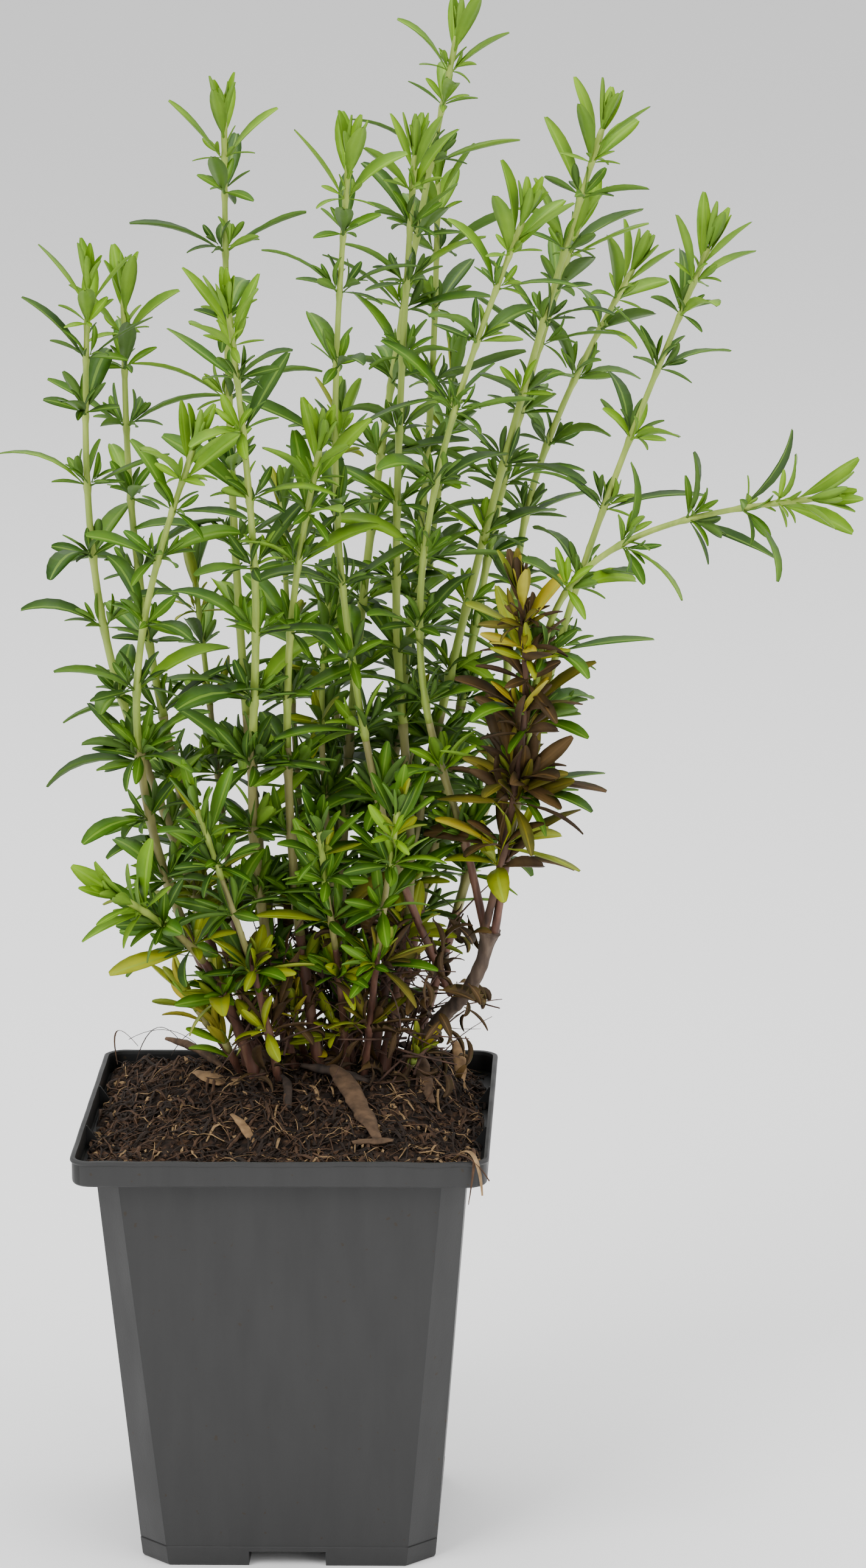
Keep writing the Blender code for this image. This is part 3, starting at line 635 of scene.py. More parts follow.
def leaf_arrays(rows):
    """Points and faces of many leaves at once: an upper side in four columns and an under side."""
    data = np.array(rows)
    root, direction, upward = data[:, 0:3], data[:, 3:6], data[:, 6:9]
    length, width, bend, fold, twist = (data[:, i][:, None] for i in range(9, 14))
    side = np.cross(direction, upward)
    t = np.sin(np.linspace(0, 1, LEAF_STATIONS) * np.pi / 2) ** TIP_CROWDING
    steps = np.diff(t, prepend=0)
    angle = bend * t[None, :] ** LATE_BEND
    forward = np.cumsum(np.cos(angle) * steps, axis=1) * length
    drop = -np.cumsum(np.sin(angle) * steps, axis=1) * length
    half = leaf_outline(t)[None, :] * width / 2
    roll = twist * t[None, :]
    columns = []
    for across, lift in LEAF_COLUMNS:
        aside = half * across * np.cos(roll)
        rise = half * lift * np.tan(fold) + half * across * np.sin(roll)
        if not across:
            rise = rise - LEAF_THICK - half * KEEL
        along = forward + rise * np.sin(angle)
        over = drop + rise * np.cos(angle)
        columns.append(
            root[:, None, :] + direction[:, None, :] * along[..., None]
            + upward[:, None, :] * over[..., None] + side[:, None, :] * aside[..., None]
        )
    points = np.stack(columns, axis=2)
    index = np.arange(points[..., 0].size).reshape(points.shape[:3])
    faces, skins = [], []
    for left, right, skin in LEAF_STRIPS:
        quads = np.stack([
            index[:, :-1, left], index[:, 1:, left], index[:, 1:, right], index[:, :-1, right],
        ], axis=-1).reshape(-1, 4)
        faces.append(quads)
        skins.append(np.full(len(quads), skin))
    return points.reshape(-1, 3), np.concatenate(faces), np.concatenate(skins)


def mesh_of(name, points, faces, skins=None):
    """A smooth mesh from arrays of points and four-cornered faces."""
    mesh = bpy.data.meshes.new(name)
    mesh.vertices.add(len(points))
    mesh.vertices.foreach_set("co", np.asarray(points, np.float32).ravel())
    mesh.loops.add(faces.size)
    mesh.loops.foreach_set("vertex_index", np.asarray(faces, np.int32).ravel())
    mesh.polygons.add(len(faces))
    mesh.polygons.foreach_set("loop_start", np.arange(0, faces.size, faces.shape[1], dtype=np.int32))
    if skins is not None:
        mesh.polygons.foreach_set("material_index", skins.astype(np.int32))
    mesh.update(calc_edges=True)
    mesh.polygons.foreach_set("use_smooth", np.ones(len(faces), bool))
    return mesh


def put(name, data):
    """A new object, linked to the scene."""
    made = bpy.data.objects.new(name, data)
    bpy.context.scene.collection.objects.link(made)
    return made


def add_piece(name, mesh, materials, replaced=()):
    """Links a piece, gives it its materials and ties it to the frame."""
    piece = put(name, mesh)
    for one in materials:
        mesh.materials.append(one)
    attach(piece, "root")
    if replaced:
        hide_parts(*replaced)


# Growing the shoots

# How often each tone comes, by kind of shoot and by height in millimetres
DEAD_MIX = {"brown": 3, "olive": 6, "yellow": 2, "lime": 4}
TUFT_MIX = {"lime": 6, "yellow": 4, "fresh": 1}
FEET_BELOW = 118
FEET_MIX = {"lime": 4, "olive": 2, "brown": 2, "mid": 2}
LOW_BELOW = 140
LOW_MIX = {"lime": 3, "mid": 4, "dark": 2, "olive": 1}
SMALL_MIX = {"fresh": 1, "lime": 1, "mid": 5, "dark": 2}
CROWN_MIX = {"fresh": 1.2, "mid": 5, "dark": 3.5}


def drawn(rng, mix):
    """One key of a mix, each as often as its weight says."""
    return rng.choices(tuple(mix), tuple(mix.values()))[0]


def drawn_vector(rng, ranges):
    """A vector with each part drawn from its own range."""
    return Vector([rng.uniform(*part) for part in ranges])


def drawn_angle(rng, degrees):
    """An angle in radians, drawn from a range in degrees."""
    return math.radians(rng.uniform(*degrees))


def around(line_direction, angle):
    """The direction square to a stem at an angle about it."""
    first, second = side_vectors(line_direction)
    return first * math.cos(angle) + second * math.sin(angle)


def leaning(axis, out, angle):
    """A leaf's heading, which leans out from an axis, and its upper side, which faces the axis."""
    heading = axis * math.cos(angle) + out * math.sin(angle)
    return heading, axis * math.sin(angle) - out * math.cos(angle)


def pick_tone(rng, shoot, number, height):
    """A leaf's tone by its shoot, its place on the shoot and its height."""
    if shoot in DEAD:
        return drawn(rng, DEAD_MIX)
    if shoot in TUFTS:
        return drawn(rng, TUFT_MIX)
    if height < FEET_BELOW:
        return drawn(rng, FEET_MIX)
    if height < LOW_BELOW:
        return drawn(rng, LOW_MIX)
    if shoot in SMALL:
        return drawn(rng, SMALL_MIX)
    return "fresh" if number <= YOUNG_LAST else drawn(rng, CROWN_MIX)


def grow_small_leaf(leaves, rng, habit, shoot, tone, root, axis, bearing, spread, length):
    """One small leaf about an axis; without a tone it draws its own."""
    out = around(axis, math.radians(bearing + rng.uniform(*habit.bearing)))
    heading, upward = leaning(axis, out, math.radians(spread + rng.uniform(*habit.spread)))
    length *= rng.uniform(*habit.length)
    tone = tone or pick_tone(rng, shoot, 0, root.z / MM)
    width = length * rng.uniform(*habit.width)
    turns = [drawn_angle(rng, degrees) for degrees in (habit.bend, habit.fold, habit.twist)]
    leaves.add(tone, root, heading, upward, length, width, *turns)


def grow_tuft(leaves, rng, shoot, number, centre, along, outward, height):
    """The short side shoot in a leaf's axil: a few pairs of small narrow leaves."""
    axis, _ = leaning(along, outward, drawn_angle(rng, TUFT_LEAN))
    start = rng.uniform(0, 360)
    size = min(1.0, TUFT_FIRST_SIZE + number * TUFT_GROWTH)
    if height < SIDE_BELOW:
        size *= TUFT_LOW_SIZE
    if shoot in DEAD:
        size *= TUFT_DEAD_SIZE
    tone = pick_tone(rng, shoot, number, height)
    pairs = TUFT_PAIRS if number > TUFT_FULL_FROM else TUFT_PAIRS[:2]
    for pair, (length, spread) in enumerate(pairs):
        root = centre + axis * (TUFT_FOOT + TUFT_STEP * pair)
        for half_turn in (0, 180):
            bearing = start + 90 * pair + half_turn
            full = length * MM * size
            grow_small_leaf(leaves, rng, TUFT_HABIT, shoot, tone, root, axis, bearing, spread, full)


def width_share(shoot, number, height):
    """A main leaf's width as a share of its length."""
    if shoot in DEAD:
        return DEAD_LEAF_WIDTH
    if shoot in SMALL:
        return SMALL_LEAF_WIDTH
    if shoot in TUFTS or height < LOW_LEAF_BELOW:
        return LOW_LEAF_WIDTH
    return YOUNG_LEAF_WIDTH if number <= YOUNG_LAST else LEAF_WIDTH


def grow_leaves(leaves, shoot, line, start, end, number_of_shoot):
    """The main leaves of the solids' rule, and the tufts of small ones in their axils."""
    rng = random.Random(SEED + number_of_shoot)
    fine = random.Random(FINE_SEED + number_of_shoot)
    for number, distance, length, spread, bearing in leaf_pairs(line, start, end, shoot.turn, rng):
        centre, along = line.at(distance)
        height = centre.z / MM
        for half_turn in (0, 180):
            outward = around(along, math.radians(bearing + half_turn))
            lean = math.radians(spread + rng.uniform(-LEAN_STRAY, LEAN_STRAY))
            size = length * rng.uniform(*LENGTH_STRAY)
            # An old leaf starts out steeper than its mean heading and curls over
            old = 1 - math.exp(-number / OLD_AFTER)
            bend = drawn_angle(fine, OLD_BEND) * old + drawn_angle(fine, YOUNG_BEND) * (1 - old)
            heading, upward = leaning(along, outward, lean - bend * BEND_RELIEF)
            tone = pick_tone(fine, shoot, number, height)
            if shoot in SMALL:
                size *= SMALL_LEAF_SIZE
            if shoot in DEAD:
                bend *= DEAD_BEND
            width = size * width_share(shoot, number, height) * fine.uniform(*MAIN_WIDTH_STRAY)
            leaves.add(
                tone, centre + outward * LEAF_ROOT_OUT, heading, upward, size, width,
                bend, drawn_angle(fine, MAIN_FOLD), drawn_angle(fine, MAIN_TWIST),
            )
            if number >= YOUNG_LAST and shoot not in TUFTS:
                grow_tuft(leaves, fine, shoot, number, centre, along, outward, height)
            if shoot in DEAD:
                below = line.at(distance - DEAD_TUFT_DROP)[0]
                grow_tuft(leaves, fine, shoot, number, below, along, outward, height)
    grow_apex(leaves, fine, shoot, line, end)


def grow_apex(leaves, rng, shoot, line, end):
    """The cluster of folded young leaves that ends a shoot."""
    centre, along = line.at(end - APEX_SINK)
    for number in range(2 * len(APEX_PAIRS)):
        pair = number // 2
        spread, share = APEX_PAIRS[pair]
        bearing = shoot.turn + APEX_TURN + 90 * number + APEX_PAIR_TURN * pair
        length = (line.length - end) * share
        grow_small_leaf(leaves, rng, APEX_HABIT, shoot, None, centre, along, bearing, spread, length)


def ring_faces(rings, sides):
    """Faces between rings of points that follow one another, with both ends closed."""
    faces = []
    for here in range(0, (rings - 1) * sides, sides):
        for side in range(sides):
            after = (side + 1) % sides
            faces.append((here + side, here + after, here + after + sides, here + side + sides))
    faces.append(tuple(reversed(range(sides))))
    faces.append(tuple(range((rings - 1) * sides, rings * sides)))
    return faces


def directions(points):
    """The direction of a route at each of its points."""
    before, after = points[:1] + points[:-1], points[1:] + points[-1:]
    return [(there - here).normalized() for here, there in zip(before, after)]


def tube(points, radii, sides, square=0.0, rough=0.0):
    """Points and faces of a tube; square pulls its section to a rounded square, rough roughens it."""
    corners = []
    for centre, radius, direction in zip(points, radii, directions(points)):
        for side in range(sides):
            turn = 2 * math.pi * side / sides
            out = around(direction, turn)
            place = centre + out * radius
            grain = Vector((place.x * GRAIN_ACROSS, place.y * GRAIN_ACROSS, place.z * GRAIN_ALONG))
            reach = radius * (1 + square * math.cos(4 * turn)) * (1 + rough * noise.noise(grain))
            corners.append(tuple(centre + out * reach))
    return corners, ring_faces(len(points), sides)


class Solid:
    """Many small shapes gathered into one mesh."""

    def __init__(self):
        self.points = []
        self.faces = []

    def add(self, points, faces):
        base = len(self.points)
        self.points += points
        self.faces += [tuple(base + corner for corner in face) for face in faces]

    def piece(self, name, skin, slot, replaced=(), smooth=True):
        """The gathered mesh as a piece of the scene."""
        mesh = bpy.data.meshes.new(name)
        mesh.from_pydata(self.points, [], self.faces)
        mesh.polygons.foreach_set("use_smooth", [smooth] * len(mesh.polygons))
        add_piece(name, mesh, (skin,), replaced)


def grow_stem(store, line, start, end, size, marks, step, rough=0.0):
    """One stretch of a stem with swollen nodes; size is its foot's radius and flare."""
    count = max(2, round((end - start) / step))
    points, radii = [], []
    for number in range(count + 1):
        distance = start + (end - start) * number / count
        points.append(line.at(distance)[0])
        nearest = min((abs(distance - mark) for mark in marks), default=1.0)
        swell = 1 + NODE_SWELL * math.exp(-(nearest / NODE_REACH) ** 2)
        radii.append(stem_radius(line, distance, *size) * swell)
    store.add(*tube(points, radii, STEM_SIDES, STEM_SQUARENESS, rough))


def skin_end(line, end, height, shares):
    """Where one skin of a stem gives way to the next: at a height, held between two shares."""
    return min(max(line.at_height(height), end * shares[0]), end * shares[1])


def grow_plant():
    """Every shoot's stem and leaves, joined by kind."""
    leaves = LeafStore()
    stems = {kind: Solid() for kind in STEM_SKINS}
    for number, shoot in enumerate(STEMMED + FROM_KNOT + FROM_SIDE + DEAD + SMALL + TUFTS):
        line = StemLine(shoot)
        from_soil = shoot in STEMMED + SMALL + TUFTS
        start = GAP
        if shoot not in SMALL + TUFTS:
            start += line.at_height(shoot.bare_to * MM)
        end = line.length - APEX_LEAF
        size = (BOUGH_RADIUS, 0.0)
        if from_soil:
            size = (FOOT_RADIUS, FLARE) if shoot in STEMMED else (SMALL_RADIUS, 0.0)
        pairs = leaf_pairs(line, start, end, shoot.turn, random.Random(SEED + number))
        marks = [pair[1] for pair in pairs]
        grow_leaves(leaves, shoot, line, start, end, number)
        if shoot in DEAD:
            grow_stem(stems["dead"], line, 0.0, end, size, marks, STEM_STEP, DEAD_ROUGHNESS)
            continue
        foot = -ROOT_DEPTH if from_soil else 0.0
        low = skin_end(line, end, TAN_FROM, TAN_SHARES)
        high = skin_end(line, end, GREEN_FROM, GREEN_SHARES)
        grow_stem(stems["base"], line, foot, low, size, marks, BARK_STEP, BASE_ROUGHNESS)
        grow_stem(stems["tan"], line, low, high, size, marks, STEM_STEP, TAN_ROUGHNESS)
        grow_stem(stems["green"], line, high, end, size, marks, STEM_STEP)
    return leaves, stems


def build_leaves(leaves, masses):
    """One piece for each tone of leaf."""
    dry_under = leaf_material("dry_under", DRY_UNDER, DRY_UNDER_ROUGHNESS)
    for tone, rows in leaves.rows.items():
        slot, *tones = LEAF_TONES[tone]
        dry = tone in DRY_TONES
        pale = tones[1] if dry else blend(tones[1], RIB_PALE, RIB_SHARE)
        under = dry_under
        if not dry:
            greyed = [blend(one, UNDER_GREY, UNDER_SHARE) for one in tones]
            under = leaf_material("under_" + tone, greyed, UNDER_ROUGHNESS)
        top = leaf_material("leaf_" + tone, tones, DRY_ROUGHNESS if dry else LEAF_ROUGHNESS)
        rib = leaf_material("rib_" + tone, (pale, pale), RIB_ROUGHNESS)
        mesh = mesh_of("leaves_" + tone, *leaf_arrays(rows))
        replaced = masses if tone == "mid" else ()
        add_piece("leaves_" + tone, mesh, (top, rib, under), replaced)


def build_stems(stems, names):
    """The stems in three skins from the soil up, and the dead one."""
    for kind, store in stems.items():
        skin = surface("stem_" + kind, STEM_LOOK, *STEM_SKINS[kind])
        store.piece("stems_" + kind, skin, "bark", names if kind == "base" else ())


def build_branch():
    """The old branch with ridged bark."""
    line = StemLine(BRANCH)
    count = round(line.length / BRANCH_STEP)
    points, radii = [], []
    for number in range(count + 1):
        distance = (line.length + BRANCH_DEPTH) * number / count - BRANCH_DEPTH
        points.append(line.at(distance)[0] + Vector((0, 0, min(0.0, distance))))
        radii.append(branch_radius(line, max(0.0, distance)))
    store = Solid()
    store.add(*tube(points, radii, BRANCH_SIDES, 0.0, BRANCH_ROUGHNESS))
    bark = surface("branch_bark", STEM_LOOK, BRANCH_STOPS, BARK_ROUGHNESS)
    store.piece("branch_bark", bark, "bark", ("branch",))


# Pot

def square_ring(half, corner, roundness, z, flute=0.0):
    """A square outline with cut or rounded corners and, where asked, faint upright flutes."""
    ring = []
    for quarter in range(4):
        angle = quarter * math.pi / 2
        along = Vector((math.cos(angle), math.sin(angle)))
        across = Vector((-along.y, along.x))
        for step in range(CORNER_STEPS + 1):
            share = step / CORNER_STEPS
            cut = along * (half - corner * share) + across * (half - corner * (1 - share))
            turn = share * math.pi / 2
            centre = (along + across) * (half - corner)
            arc = centre + (along * math.cos(turn) + across * math.sin(turn)) * corner
            ring.append(cut.lerp(arc, roundness))
        side_start = ring[-1]
        side_end = -along * (half - corner) + across * half
        for step in range(1, SIDE_STEPS):
            point = side_start.lerp(side_end, step / SIDE_STEPS)
            wave = math.cos(2 * math.pi * point.dot(along) / FLUTE_PITCH)
            ring.append(point + across * flute * (wave - 1) / 2)
    return [(point.x, point.y, z) for point in ring]


def body_half(z):
    """Half the width of the pot's outer body at a height."""
    share = z / BAND_FOOT
    return BODY_BASE_HALF + (BODY_TOP_HALF - BODY_BASE_HALF) * share


def box_object(low, high):
    """A plain box between two corners, used as a cutter."""
    shape = bmesh.new()
    bmesh.ops.create_cube(shape, size=1)
    for vert in shape.verts:
        vert.co = Vector([high[i] if vert.co[i] > 0 else low[i] for i in range(3)])
    mesh = bpy.data.meshes.new("cutter")
    shape.to_mesh(mesh)
    shape.free()
    return put("cutter", mesh)


def side_boxes(z_low, z_high, half_width, inner, outer):
    """One box in the middle of each of the four sides, between two distances from the axis."""
    made = []
    for along_x in (True, False):
        for sign in (-1, 1):
            near, far = sorted((sign * inner, sign * outer))
            if along_x:
                made.append(box_object((near, -half_width, z_low), (far, half_width, z_high)))
            else:
                made.append(box_object((-half_width, near, z_low), (half_width, far, z_high)))
    return made


def mend_normals(mesh):
    """Turns every face of a closed mesh outward."""
    shape = bmesh.new()
    shape.from_mesh(mesh)
    bmesh.ops.recalc_face_normals(shape, faces=shape.faces)
    shape.to_mesh(mesh)
    shape.free()


def rim_rib(side, place):
    """A thin gusset between the band's inside and its ledge."""
    wall = RIM_HALF - WALL
    profile = (
        (wall + RIB_SINK, LEDGE_TOP - RIB_SINK),
        (wall + RIB_SINK, POT_HEIGHT - WALL),
        (wall - RIB_SINK, POT_HEIGHT - WALL),
        (wall - RIB_REACH, LEDGE_TOP + WALL),
        (wall - RIB_REACH, LEDGE_TOP - RIB_SINK),
    )
    outward = Vector((math.cos(side), math.sin(side), 0))
    across = Vector((-outward.y, outward.x, 0))
    points = []
    for edge in (-RIB_THICK / 2, RIB_THICK / 2):
        points += [outward * out + across * (place + edge) + Vector((0, 0, z)) for out, z in profile]
    mesh = bpy.data.meshes.new("rib")
    mesh.from_pydata(points, [], ring_faces(2, len(profile)))
    mend_normals(mesh)
    return put("rib", mesh)


def apply_boolean(target, operation, tools):
    """Joins or cuts the target with every tool object at once, then removes the tools."""
    group = bpy.data.collections.new("tools")
    bpy.context.scene.collection.children.link(group)
    for tool in tools:
        bpy.context.scene.collection.objects.unlink(tool)
        group.objects.link(tool)
    cut = target.modifiers.new("cut", "BOOLEAN")
    cut.operation = operation
    cut.operand_type = "COLLECTION"
    cut.collection = group
    cut.solver = "EXACT"
    bpy.context.view_layer.objects.active = target
    bpy.ops.object.modifier_apply(modifier=cut.name)
    for tool in tools:
        bpy.data.objects.remove(tool)
    bpy.data.collections.remove(group)


def rim_ring(out, z, corner_inset=0.0):
    """A round-cornered outline that stands a little outside or inside the rim."""
    return square_ring(RIM_HALF + out, RIM_CORNER - corner_inset, 1, z)


def pot_rings():
    """The pot's outlines in order: up the outside, over the lip and down the inside."""
    crease_half = body_half(CREASE_LEVEL)
    rings = [
        square_ring(BODY_BASE_HALF - BASE_EDGE / 2, CORNER_BASE, 0, 0),
        square_ring(body_half(BASE_EDGE), CORNER_BASE, 0, BASE_EDGE),
        square_ring(crease_half + CREASE_DEPTH / 3, CORNER_BASE, 0, CREASE_LEVEL - CREASE_DEPTH),
        square_ring(crease_half - CREASE_DEPTH * 2 / 3, CORNER_BASE, 0, CREASE_LEVEL),
    ]
    for z in FLUTED_LEVELS:
        corner = CORNER_BASE + (CORNER_TOP - CORNER_BASE) * z / BAND_FOOT
        rings.append(square_ring(body_half(z), corner, 0, z, FLUTE_DEPTH))
    rings.append(square_ring(BODY_TOP_HALF + SHOULDER, CORNER_TOP, SHOULDER_ROUNDNESS, BAND_FOOT))
    for inset, corner_inset, rise in BAND_PROFILE:
        rings.append(rim_ring(-inset * MM, BAND_FOOT + rise * MM, corner_inset * MM))
    rings.append(rim_ring(-BAND_INSET, LIP_FOOT))
    for reach, drop in LIP_PROFILE:
        rings.append(rim_ring(LIP_RADIUS * reach, POT_HEIGHT - LIP_RADIUS * drop))
    for inset, z in INNER_PROFILE:
        rings.append(rim_ring(-WALL - inset, z, WALL))
    rings.append(square_ring(BODY_TOP_HALF - WALL, CORNER_TOP, 0, LEDGE_TOP))
    rings.append(square_ring(INSIDE_BASE_HALF, CORNER_BASE, 0, FLOOR))
    return rings


def build_pot():
    """The pot with its flutes, lip, ledge, ribs, notches and slots."""
    rings = pot_rings()
    points = []
    for x, y, z in (point for ring in rings for point in ring):
        worn = 0.0
        if z > LIP_FOOT:
            worn = (noise.noise(Vector((x, y, 0)) * LIP_WAVES) - 1) * LIP_WOBBLE
        points.append((x, y, z + worn))
    mesh = bpy.data.meshes.new("pot_shell")
    mesh.from_pydata(points, [], ring_faces(len(rings), len(rings[0])))
    mend_normals(mesh)
    pot = put("pot_shell", mesh)
    outer = body_half(NOTCH_HEIGHT)
    depth = outer - NOTCH_DEPTH
    housings = side_boxes(
        FLOOR / 2, NOTCH_HEIGHT + WALL, NOTCH_WIDTH / 2 + WALL, depth - WALL, INSIDE_BASE_HALF + WALL / 2
    )
    sides = [quarter * math.pi / 2 for quarter in range(4)]
    ribs = [rim_rib(side, place) for side in sides for place in (-RIB_PLACE, RIB_PLACE)]
    apply_boolean(pot, "UNION", housings + ribs)
    notches = side_boxes(-FLOOR, NOTCH_HEIGHT, NOTCH_WIDTH / 2, depth, outer + WALL)
    middle = (outer + depth) / 2
    slots = side_boxes(
        NOTCH_HEIGHT / 2, NOTCH_HEIGHT + 2 * WALL, SLOT_LENGTH / 2,
        middle - SLOT_WIDTH / 2, middle + SLOT_WIDTH / 2,
    )
    apply_boolean(pot, "DIFFERENCE", notches + slots)
    pot.data.polygons.foreach_set("use_smooth", [True] * len(pot.data.polygons))
    pot.data.set_sharp_from_angle(angle=math.radians(SHARP_ANGLE))
    pot.data.materials.clear()
    pot.data.materials.append(pot_material("pot_plastic", POT_SHADE))
    # Second material: the same plastic at a darker grey, as painted shade inside the pot
    pot.data.materials.append(pot_material("pot_inside_painted_shade", INSIDE_PAINTED_SHADE))
    # Faces of the band's inner side and of the ledge take the painted shade
    inner_face = RIM_HALF - WALL + BAND_INSET
    for polygon in pot.data.polygons:
        x, y, z = polygon.center
        if max(abs(x), abs(y)) < inner_face and LEDGE_TOP - PAINTED_SHADE_DEPTH < z < LIP_FOOT:
            polygon.material_index = 1
    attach(pot, "root")
    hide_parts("pot")


# Soil

def soil_height(x, y):
    """The soil's surface: level at the walls, up to the mound under the stems."""
    point = Vector((x, y))
    out = point - MOUND_CENTRE
    oval = math.hypot(out.x / MOUND_REACH.x, out.y / MOUND_REACH.y)
    if oval < 1:
        share = 1.0
    else:
        edge = MOUND_CENTRE + out / oval
        wall = SOIL_HALF / max(abs(x), abs(y), TINY)
        far = point * wall
        span = (far - edge).length
        share = max(0.0, 1 - (point - edge).length / max(span, TINY))
    eased = share * share * (3 - 2 * share)
    back_left = max(0.0, (y - x) / (2 * BODY_TOP_HALF)) * BACK_LEFT_RISE
    ledge = max(0.0, max(abs(x), abs(y)) - LEDGE_FROM) / (SOIL_HALF - LEDGE_FROM) * LEDGE_DROP
    return SOIL_WALL_LEVEL + back_left * (1 - eased) + (MOUND_TOP - SOIL_WALL_LEVEL) * eased - ledge


def lumps(x, y):
    """Height of the peat's lumps, crumbs and hollows."""
    place = Vector((x, y, 0.0))
    return sum(noise.noise(place * fineness) * height for fineness, height in LUMP_SIZES) * MM


def over_ledge(x, y):
    """Whether a place lies outside the body's throat, over the rim's ledge."""
    return max(abs(x), abs(y)) > THROAT_HALF or abs(x) + abs(y) > 2 * THROAT_HALF - CORNER_TOP


def litter_height(x, y, clearance):
    """Where a crumb or fibre lies: on the peat, and clear of the ledge at the edges."""
    z = soil_height(x, y) + lumps(x, y)
    return max(z, LEDGE_TOP + clearance) if over_ledge(x, y) else z


def build_soil():
    """The peat's surface as a fine lumpy mesh with a skirt down inside the pot."""
    axis = np.linspace(-SOIL_HALF, SOIL_HALF, SOIL_GRID)
    limit = 2 * SOIL_HALF - CORNER_TOP
    within_ledge = LEDGE_TOP - WALL / 2
    points = []
    for y, x in ((y, x) for y in axis for x in axis):
        cut = min(1.0, limit / (abs(x) + abs(y)))
        x, y = x * cut, y * cut
        inward = max(0.0, 1 - max(abs(x), abs(y)) / SOIL_HALF)
        z = soil_height(x, y) + lumps(x, y) * min(1.0, EDGE_CALM + inward * EDGE_RISE) - SOIL_SINK
        points.append((x, y, max(z, within_ledge) if over_ledge(x, y) else z))
    index = np.arange(SOIL_GRID * SOIL_GRID).reshape(SOIL_GRID, SOIL_GRID)
    corners = (index[:-1, :-1], index[:-1, 1:], index[1:, 1:], index[1:, :-1])
    faces = np.stack(corners, axis=-1).reshape(-1, 4)
    mesh = mesh_of("soil_peat", np.array(points), faces)
    shape = bmesh.new()
    shape.from_mesh(mesh)
    low = NOTCH_HEIGHT + 2 * WALL
    foot = body_half(low) - WALL - GAP
    # The skirt first draws in within the ledge, then follows the body's taper down
    half = SOIL_HALF
    for next_half, corner, level in ((THROAT_HALF, CORNER_TOP, within_ledge), (foot, CORNER_BASE, low)):
        rim = [edge for edge in shape.edges if edge.is_boundary]
        skirt = bmesh.ops.extrude_edge_only(shape, edges=rim)["geom"]
        for vert in (item for item in skirt if isinstance(item, bmesh.types.BMVert)):
            x, y = vert.co.x * next_half / half, vert.co.y * next_half / half
            cut = min(1.0, (2 * next_half - corner - GAP) / (abs(x) + abs(y)))
            vert.co = Vector((x * cut, y * cut, level))
        half = next_half
    bmesh.ops.contextual_create(shape, geom=[edge for edge in shape.edges if edge.is_boundary])
    bmesh.ops.recalc_face_normals(shape, faces=shape.faces)
    for face in shape.faces:
        face.smooth = True
    shape.to_mesh(mesh)
    shape.free()
    peat = surface("peat", PEAT_LOOK, PEAT_STOPS, PEAT_ROUGHNESS)
    add_piece("soil_peat", mesh, (peat,), ("soil",))


def soil_spot(rng):
    """A random place on the soil, kept inside the walls."""
    while True:
        x = rng.uniform(-SOIL_HALF, SOIL_HALF) * LITTER_SPREAD
        y = rng.uniform(-SOIL_HALF, SOIL_HALF) * LITTER_SPREAD
        if abs(x) + abs(y) < 2 * SOIL_HALF - CORNER_TOP - LITTER_CORNER:
            return x, y


def crumb(rng, centre, size):
    """One crumb of peat: a small irregular lump."""
    angle = rng.uniform(0, CRUMB_TURN)
    turn = Matrix.Rotation(angle, 3, Vector((rng.random(), rng.random(), rng.random() + 0.1)))
    stretch = drawn_vector(rng, CRUMB_SHAPE)
    points = []
    for axis in ((1, 0, 0), (0, 1, 0), (0, 0, 1), (-1, 0, 0), (0, -1, 0), (0, 0, -1)):
        point = turn @ Vector([a * s * size * rng.uniform(*CRUMB_STRAY) for a, s in zip(axis, stretch)])
        points.append(tuple(centre + point))
    faces = [(0, 1, 2), (1, 3, 2), (3, 4, 2), (4, 0, 2), (1, 0, 5), (3, 1, 5), (4, 3, 5), (0, 4, 5)]
    return points, faces


def ribbon(points, widths, thickness, tilt=0.0):
    """A thin flat strip along a route: four corners a step."""
    corners = []
    for centre, width, along in zip(points, widths, directions(points)):
        side = along.cross(Vector((math.sin(tilt), 0, math.cos(tilt)))).normalized()
        upward = side.cross(along)
        for across, over in ((-1, 0), (0, 1), (1, 0), (0, -1)):
            corners.append(tuple(centre + side * across * width / 2 + upward * over * thickness / 2))
    return corners, ring_faces(len(points), 4)


def swollen(width, steps, end):
    """Widths along a strip that swells in the middle; end sets how wide its ends stay."""
    return [width * (end + math.sin(math.pi * (0.1 + 0.8 * i / steps))) for i in range(steps + 1)]


def strand(rng, x, y, length):
    """A curved route that lies on the soil."""
    heading = rng.uniform(0, 2 * math.pi)
    curl = rng.uniform(*FIBRE_CURL)
    rise = rng.uniform(*FIBRE_RISE) * FIBRE_LIFT
    limit = SOIL_HALF - FIBRE_MARGIN
    points = []
    for step in range(FIBRE_STEPS + 1):
        share = step / FIBRE_STEPS
        flat_x = min(limit, max(-limit, x))
        flat_y = min(limit, max(-limit, y))
        arch = math.sin(math.pi * share) * rise
        points.append(Vector((flat_x, flat_y, litter_height(flat_x, flat_y, FIBRE_CLEARANCE) + arch)))
        x += math.cos(heading + curl * share) * length / FIBRE_STEPS
        y += math.sin(heading + curl * share) * length / FIBRE_STEPS
    return points


